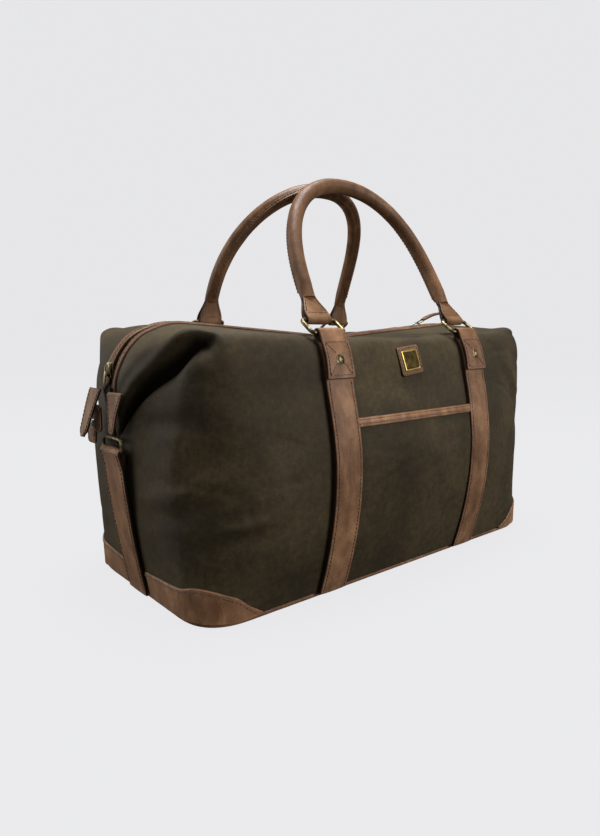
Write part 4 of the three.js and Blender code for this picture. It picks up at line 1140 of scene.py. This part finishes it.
def make_zip_slider():
    at, along, up = zip_spot(SLIDER_X * MM)
    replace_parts(make_slider("zip_slider_body", at + up * SLIDER_RISE * MM, along, up, "zip_slider"), "zip_slider")
    f = np.linspace(0, 1, 60)
    path = at + along * ((PULL_START + PULL_LENGTH * f) * MM)[:, None]
    path = path + AXIS_Z * ((PULL_LOW + PULL_ARCH * np.sin(math.pi * f * 0.85)) * MM)[:, None]
    start, aim = path[0] - AXIS_Z * 0.4 * MM, unit(path[10] - path[0])
    width = 9.4 - 3.2 * bell(f, 0.10, 0.07) - 3.5 * smoothstep(f, 0.965, 1.0)
    leather = f > 0.12
    out = outward(path, AXIS_Y, AXIS_Z)[leather]
    path, width = path[leather], width[leather]
    pull = ribbon("zip_pull_leather", path, AXIS_Y, out, width, 2.4, LEATHER, "zip_pull", groove=PULL_SEAM, crown=0.3)
    cover(pull, "zip_pull")
    make_ring("zip_pull_link", 5.0, 11, 1.5, start, aim, AXIS_Y, "zip_pull", 2.2)
    sew_edges("zip_pull", path[2:-2], AXIS_Y, out[2:-2], width[2:-2], PULL_SEAM, 1.35)
    dome("zip_pull_rivet", path[5] + out[5] * 1.1 * MM, out[5], 2.2, 1.0, BRASS, "zip_pull")


def make_left_slider():
    """The second slider, closed against the left end, with a small hanging tag."""
    at, up = LEFT_SLIDER_AT, -AXIS_X
    make_slider("end_slider", at, AXIS_Z, up, "bag", 0.85)
    top, rise = at + (up * 4.0 - AXIS_Z * 0.5) * MM, unit(np.array([0.12, -0.05, 1.0]))
    slab("end_slider_tag", rounded(TAG_OUTLINE, 1.4), top, -AXIS_Y, rise, TAG_LAYERS, BRASS)


# ------------------------------------------------------------------ end straps, rings and closing tabs
END_FACE, END_BAR_Z, END_WIRE, END_RING_INNER, END_RING_REACH = 269.0, 147, 3.2, 38, 13
END_LOOP = END_WIRE / 2 + 0.5 + LEATHER_THICK / 2
END_BAR_X = END_FACE + 2 * GAP + END_LOOP + LEATHER_THICK / 2
END_STRAP_WIDTH, END_STRAP_THICK, END_STRAP_LOW, END_STRAP_TOP, END_STRAP_SEAM = 38.5, 2.6, 3.2, 3.5, 3.2
PLATE_X = 278.4
EAR_OUTLINE = [(-6, 204), (-40, 205.5), (-24, 184), (-16, 165), (-6, 165)]
STUD_TAB_OUTLINE = [(10, 190), (10, 165), (24, 163), (26, 151), (45, 151), (44, 178), (30, 190)]
TONGUE_TOP, TONGUE_Y, TONGUE_SWEEP, TONGUE_DROP, TONGUE_ROOT, TONGUE_STAND = 206, 15, 16, 47, 3, 9
TONGUE_SEAM = 2.4
STUD_Y, STUD_Z = 29, 171


def end_strap_line():
    """Up the right end from the base, round the ring's bar and a short way back down."""
    vs = np.linspace(0.2, END_STRAP_TOP, 60)
    low = spots(FRONT, np.zeros(60), vs)
    offset = END_STRAP_LOW + (END_BAR_X + END_LOOP - END_FACE - END_STRAP_LOW) * (vs / END_STRAP_TOP) ** 3
    front = np.stack([-low[:, 0] + offset * MM, np.zeros(60), low[:, 2]], -1)
    turn = np.linspace(0, math.pi, 15)
    arc = np.stack([END_BAR_X + END_LOOP * np.cos(turn), 0 * turn, END_BAR_Z + END_LOOP * np.sin(turn)], -1) * MM
    x = END_BAR_X - END_LOOP
    back = np.array([(x, 0, END_BAR_Z - 4), (x + 0.5, 0, END_BAR_Z - 14)]) * MM
    return spaced(np.concatenate([front, arc, back]), 1.4 * MM)


def make_end_seam(name, end):
    """The cloth behind the seam that joins the two canvas halves at an end, up to the zip's tapes."""
    up, over = np.linspace(0.3, V_MAX, 90), np.linspace(0.05, 1.4, 24)
    line = np.concatenate([spots(FRONT, 0 * up, up), spots(FRONT, over, 0 * over + V_MAX)])
    line = spaced(line * (-end, 0, 1), 3 * MM)
    out = outward(line, AXIS_Y, AXIS_X * end)
    ribbon(f"end_seam_{name}", line - out * 3.2 * MM, AXIS_Y, out, 15, 1.0, TAPE)


def make_end_strap(name, end):
    line = end_strap_line() * (end, 1, 1)
    out, along = outward(line, AXIS_Y, AXIS_X * end), travelled(line)
    width = END_STRAP_WIDTH + 4.0 * bell(along, 0.115, 0.045)
    strap = ribbon(f"end_strap_{name}_leather", line, AXIS_Y, out, width, END_STRAP_THICK, TRIM_LEATHER,
                   groove=END_STRAP_SEAM, crown=0.4)
    cover(strap, f"end_strap_{name}")
    top, rise = int(np.argmax(line[:, 2])), END_STRAP_THICK / 2 + 0.2
    part = slice(4, top - 3)
    sew_edges("bag", line[part], AXIS_Y, out[part], width[part], END_STRAP_SEAM, rise)
    for down in (5, 10):
        k = int(np.argmin(np.abs(along - (along[top] - down * MM))))
        sew_across("bag", line[k], AXIS_Y, out[k], width[k], END_STRAP_SEAM, rise)
    bar = np.array([end * END_BAR_X, 0, END_BAR_Z]) * MM
    ring = make_ring(f"end_ring_{name}_wire", END_RING_INNER, END_RING_REACH, END_WIRE, bar, AXIS_Z, AXIS_Y,
                     f"{name}_end_ring", 4.2)
    cover(ring, f"end_ring_{name}")


def make_closing_tab(name, end):
    """The leather ear beside the zip, the stud's tab, and the tongue that closes over it."""
    body, outwards = f"{name}_tongue", AXIS_X * end
    at, across = outwards * PLATE_X * MM, AXIS_Y * end
    for part, points in (("zip_ear", EAR_OUTLINE), ("stud_tab", STUD_TAB_OUTLINE)):
        outline = rounded(np.array(points) * (end, 1), 5.0)
        plate = slab(f"{part}_{name}_leather", outline, at, across, AXIS_Z, CUT_LEATHER, LEATHER)
        cover(plate, f"{part}_{name}")
        sew_round(outline, 2.6, at, across, AXIS_Z, outwards, 1.75)
    f = np.linspace(0, 1, 40)
    path = np.stack([end * (PLATE_X + TONGUE_ROOT + TONGUE_STAND * f), TONGUE_Y + TONGUE_SWEEP * f**0.8,
                     TONGUE_TOP - TONGUE_DROP * f], -1) * MM
    out = np.cross(tangents(path), AXIS_Y) * end
    width = 26 - 10 * f - 8 * smoothstep(f, 0.86, 1.0)
    tongue = ribbon(f"end_tongue_{name}_leather", path, AXIS_Y, out, width, 2.2, LEATHER, body, groove=TONGUE_SEAM,
                    crown=0.3)
    cover(tongue, f"end_tongue_{name}")
    sew_edges(body, path[1:-2], AXIS_Y, out[1:-2], width[1:-2], TONGUE_SEAM, 1.25)
    seat = np.array([end * (PLATE_X + 1.7), STUD_Y, STUD_Z]) * MM
    stud = dome(f"press_stud_{name}_head", seat, outwards, 4.6, 2.2, STEEL)
    cover(stud, f"press_stud_{name}")
    centre = sampled((TONGUE_TOP - STUD_Z) / TONGUE_DROP, f, path) * (1, 0, 1) + AXIS_Y * STUD_Y * MM
    cap = dome(f"stud_cap_{name}_head", centre - out[20] * 0.9 * MM, -out[20], 4.2, 1.8, STEEL, body)
    cover(cap, f"stud_cap_{name}")


# ------------------------------------------------------------------ put it together
make_camera()
make_world()
make_floor(FLOOR)
make_light("softbox_top", (0.1, 0.1, 2.3), (0, 0, 0.2), 1.4, 88)
make_light("softbox_left", (-1.7, 1.3, 0.9), (0, 0, 0.2), 2.4, 36)
make_light("softbox_right", (1.0, -2.4, 1.0), (0, 0, 0.15), 1.4, 54)

for half_name, half_side in SIDES.items():
    make_shell("canvas", half_name, half_side, 0, 1.6, (260, 150), FOOT, V_MAX, CANVAS)
    make_shell("lining", half_name, half_side, 6.4, 0.9, (120, 70), 0.35, V_MAX - 0.22, LINING)
    make_handle(half_name, half_side)
    for end_name, end_side in ENDS.items():
        corner = f"{half_name}_{end_name}"
        make_strap(corner, end_side, half_side)
        make_ring_tab(corner, end_side, half_side)
        make_handle_ring(corner, end_side, half_side, f"{half_name}_rings")
        make_corner_patch(corner, end_side, half_side)
for end_name, end_side in ENDS.items():
    make_end_strap(end_name, end_side)
    make_closing_tab(end_name, end_side)
    make_end_seam(end_name, end_side)
make_base()
make_pocket()
make_badge()
make_zip()
make_zip_slider()
make_left_slider()
make_stitches()

CARRIED = {"base_board": BOARD, "handle_core": ROPE}
for node_name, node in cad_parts.items():
    if node.hide_render:
        continue
    pick = next((m for start, m in CARRIED.items() if node_name.startswith(start)), LEATHER)
    node.data.materials.clear()
    node.data.materials.append(pick)
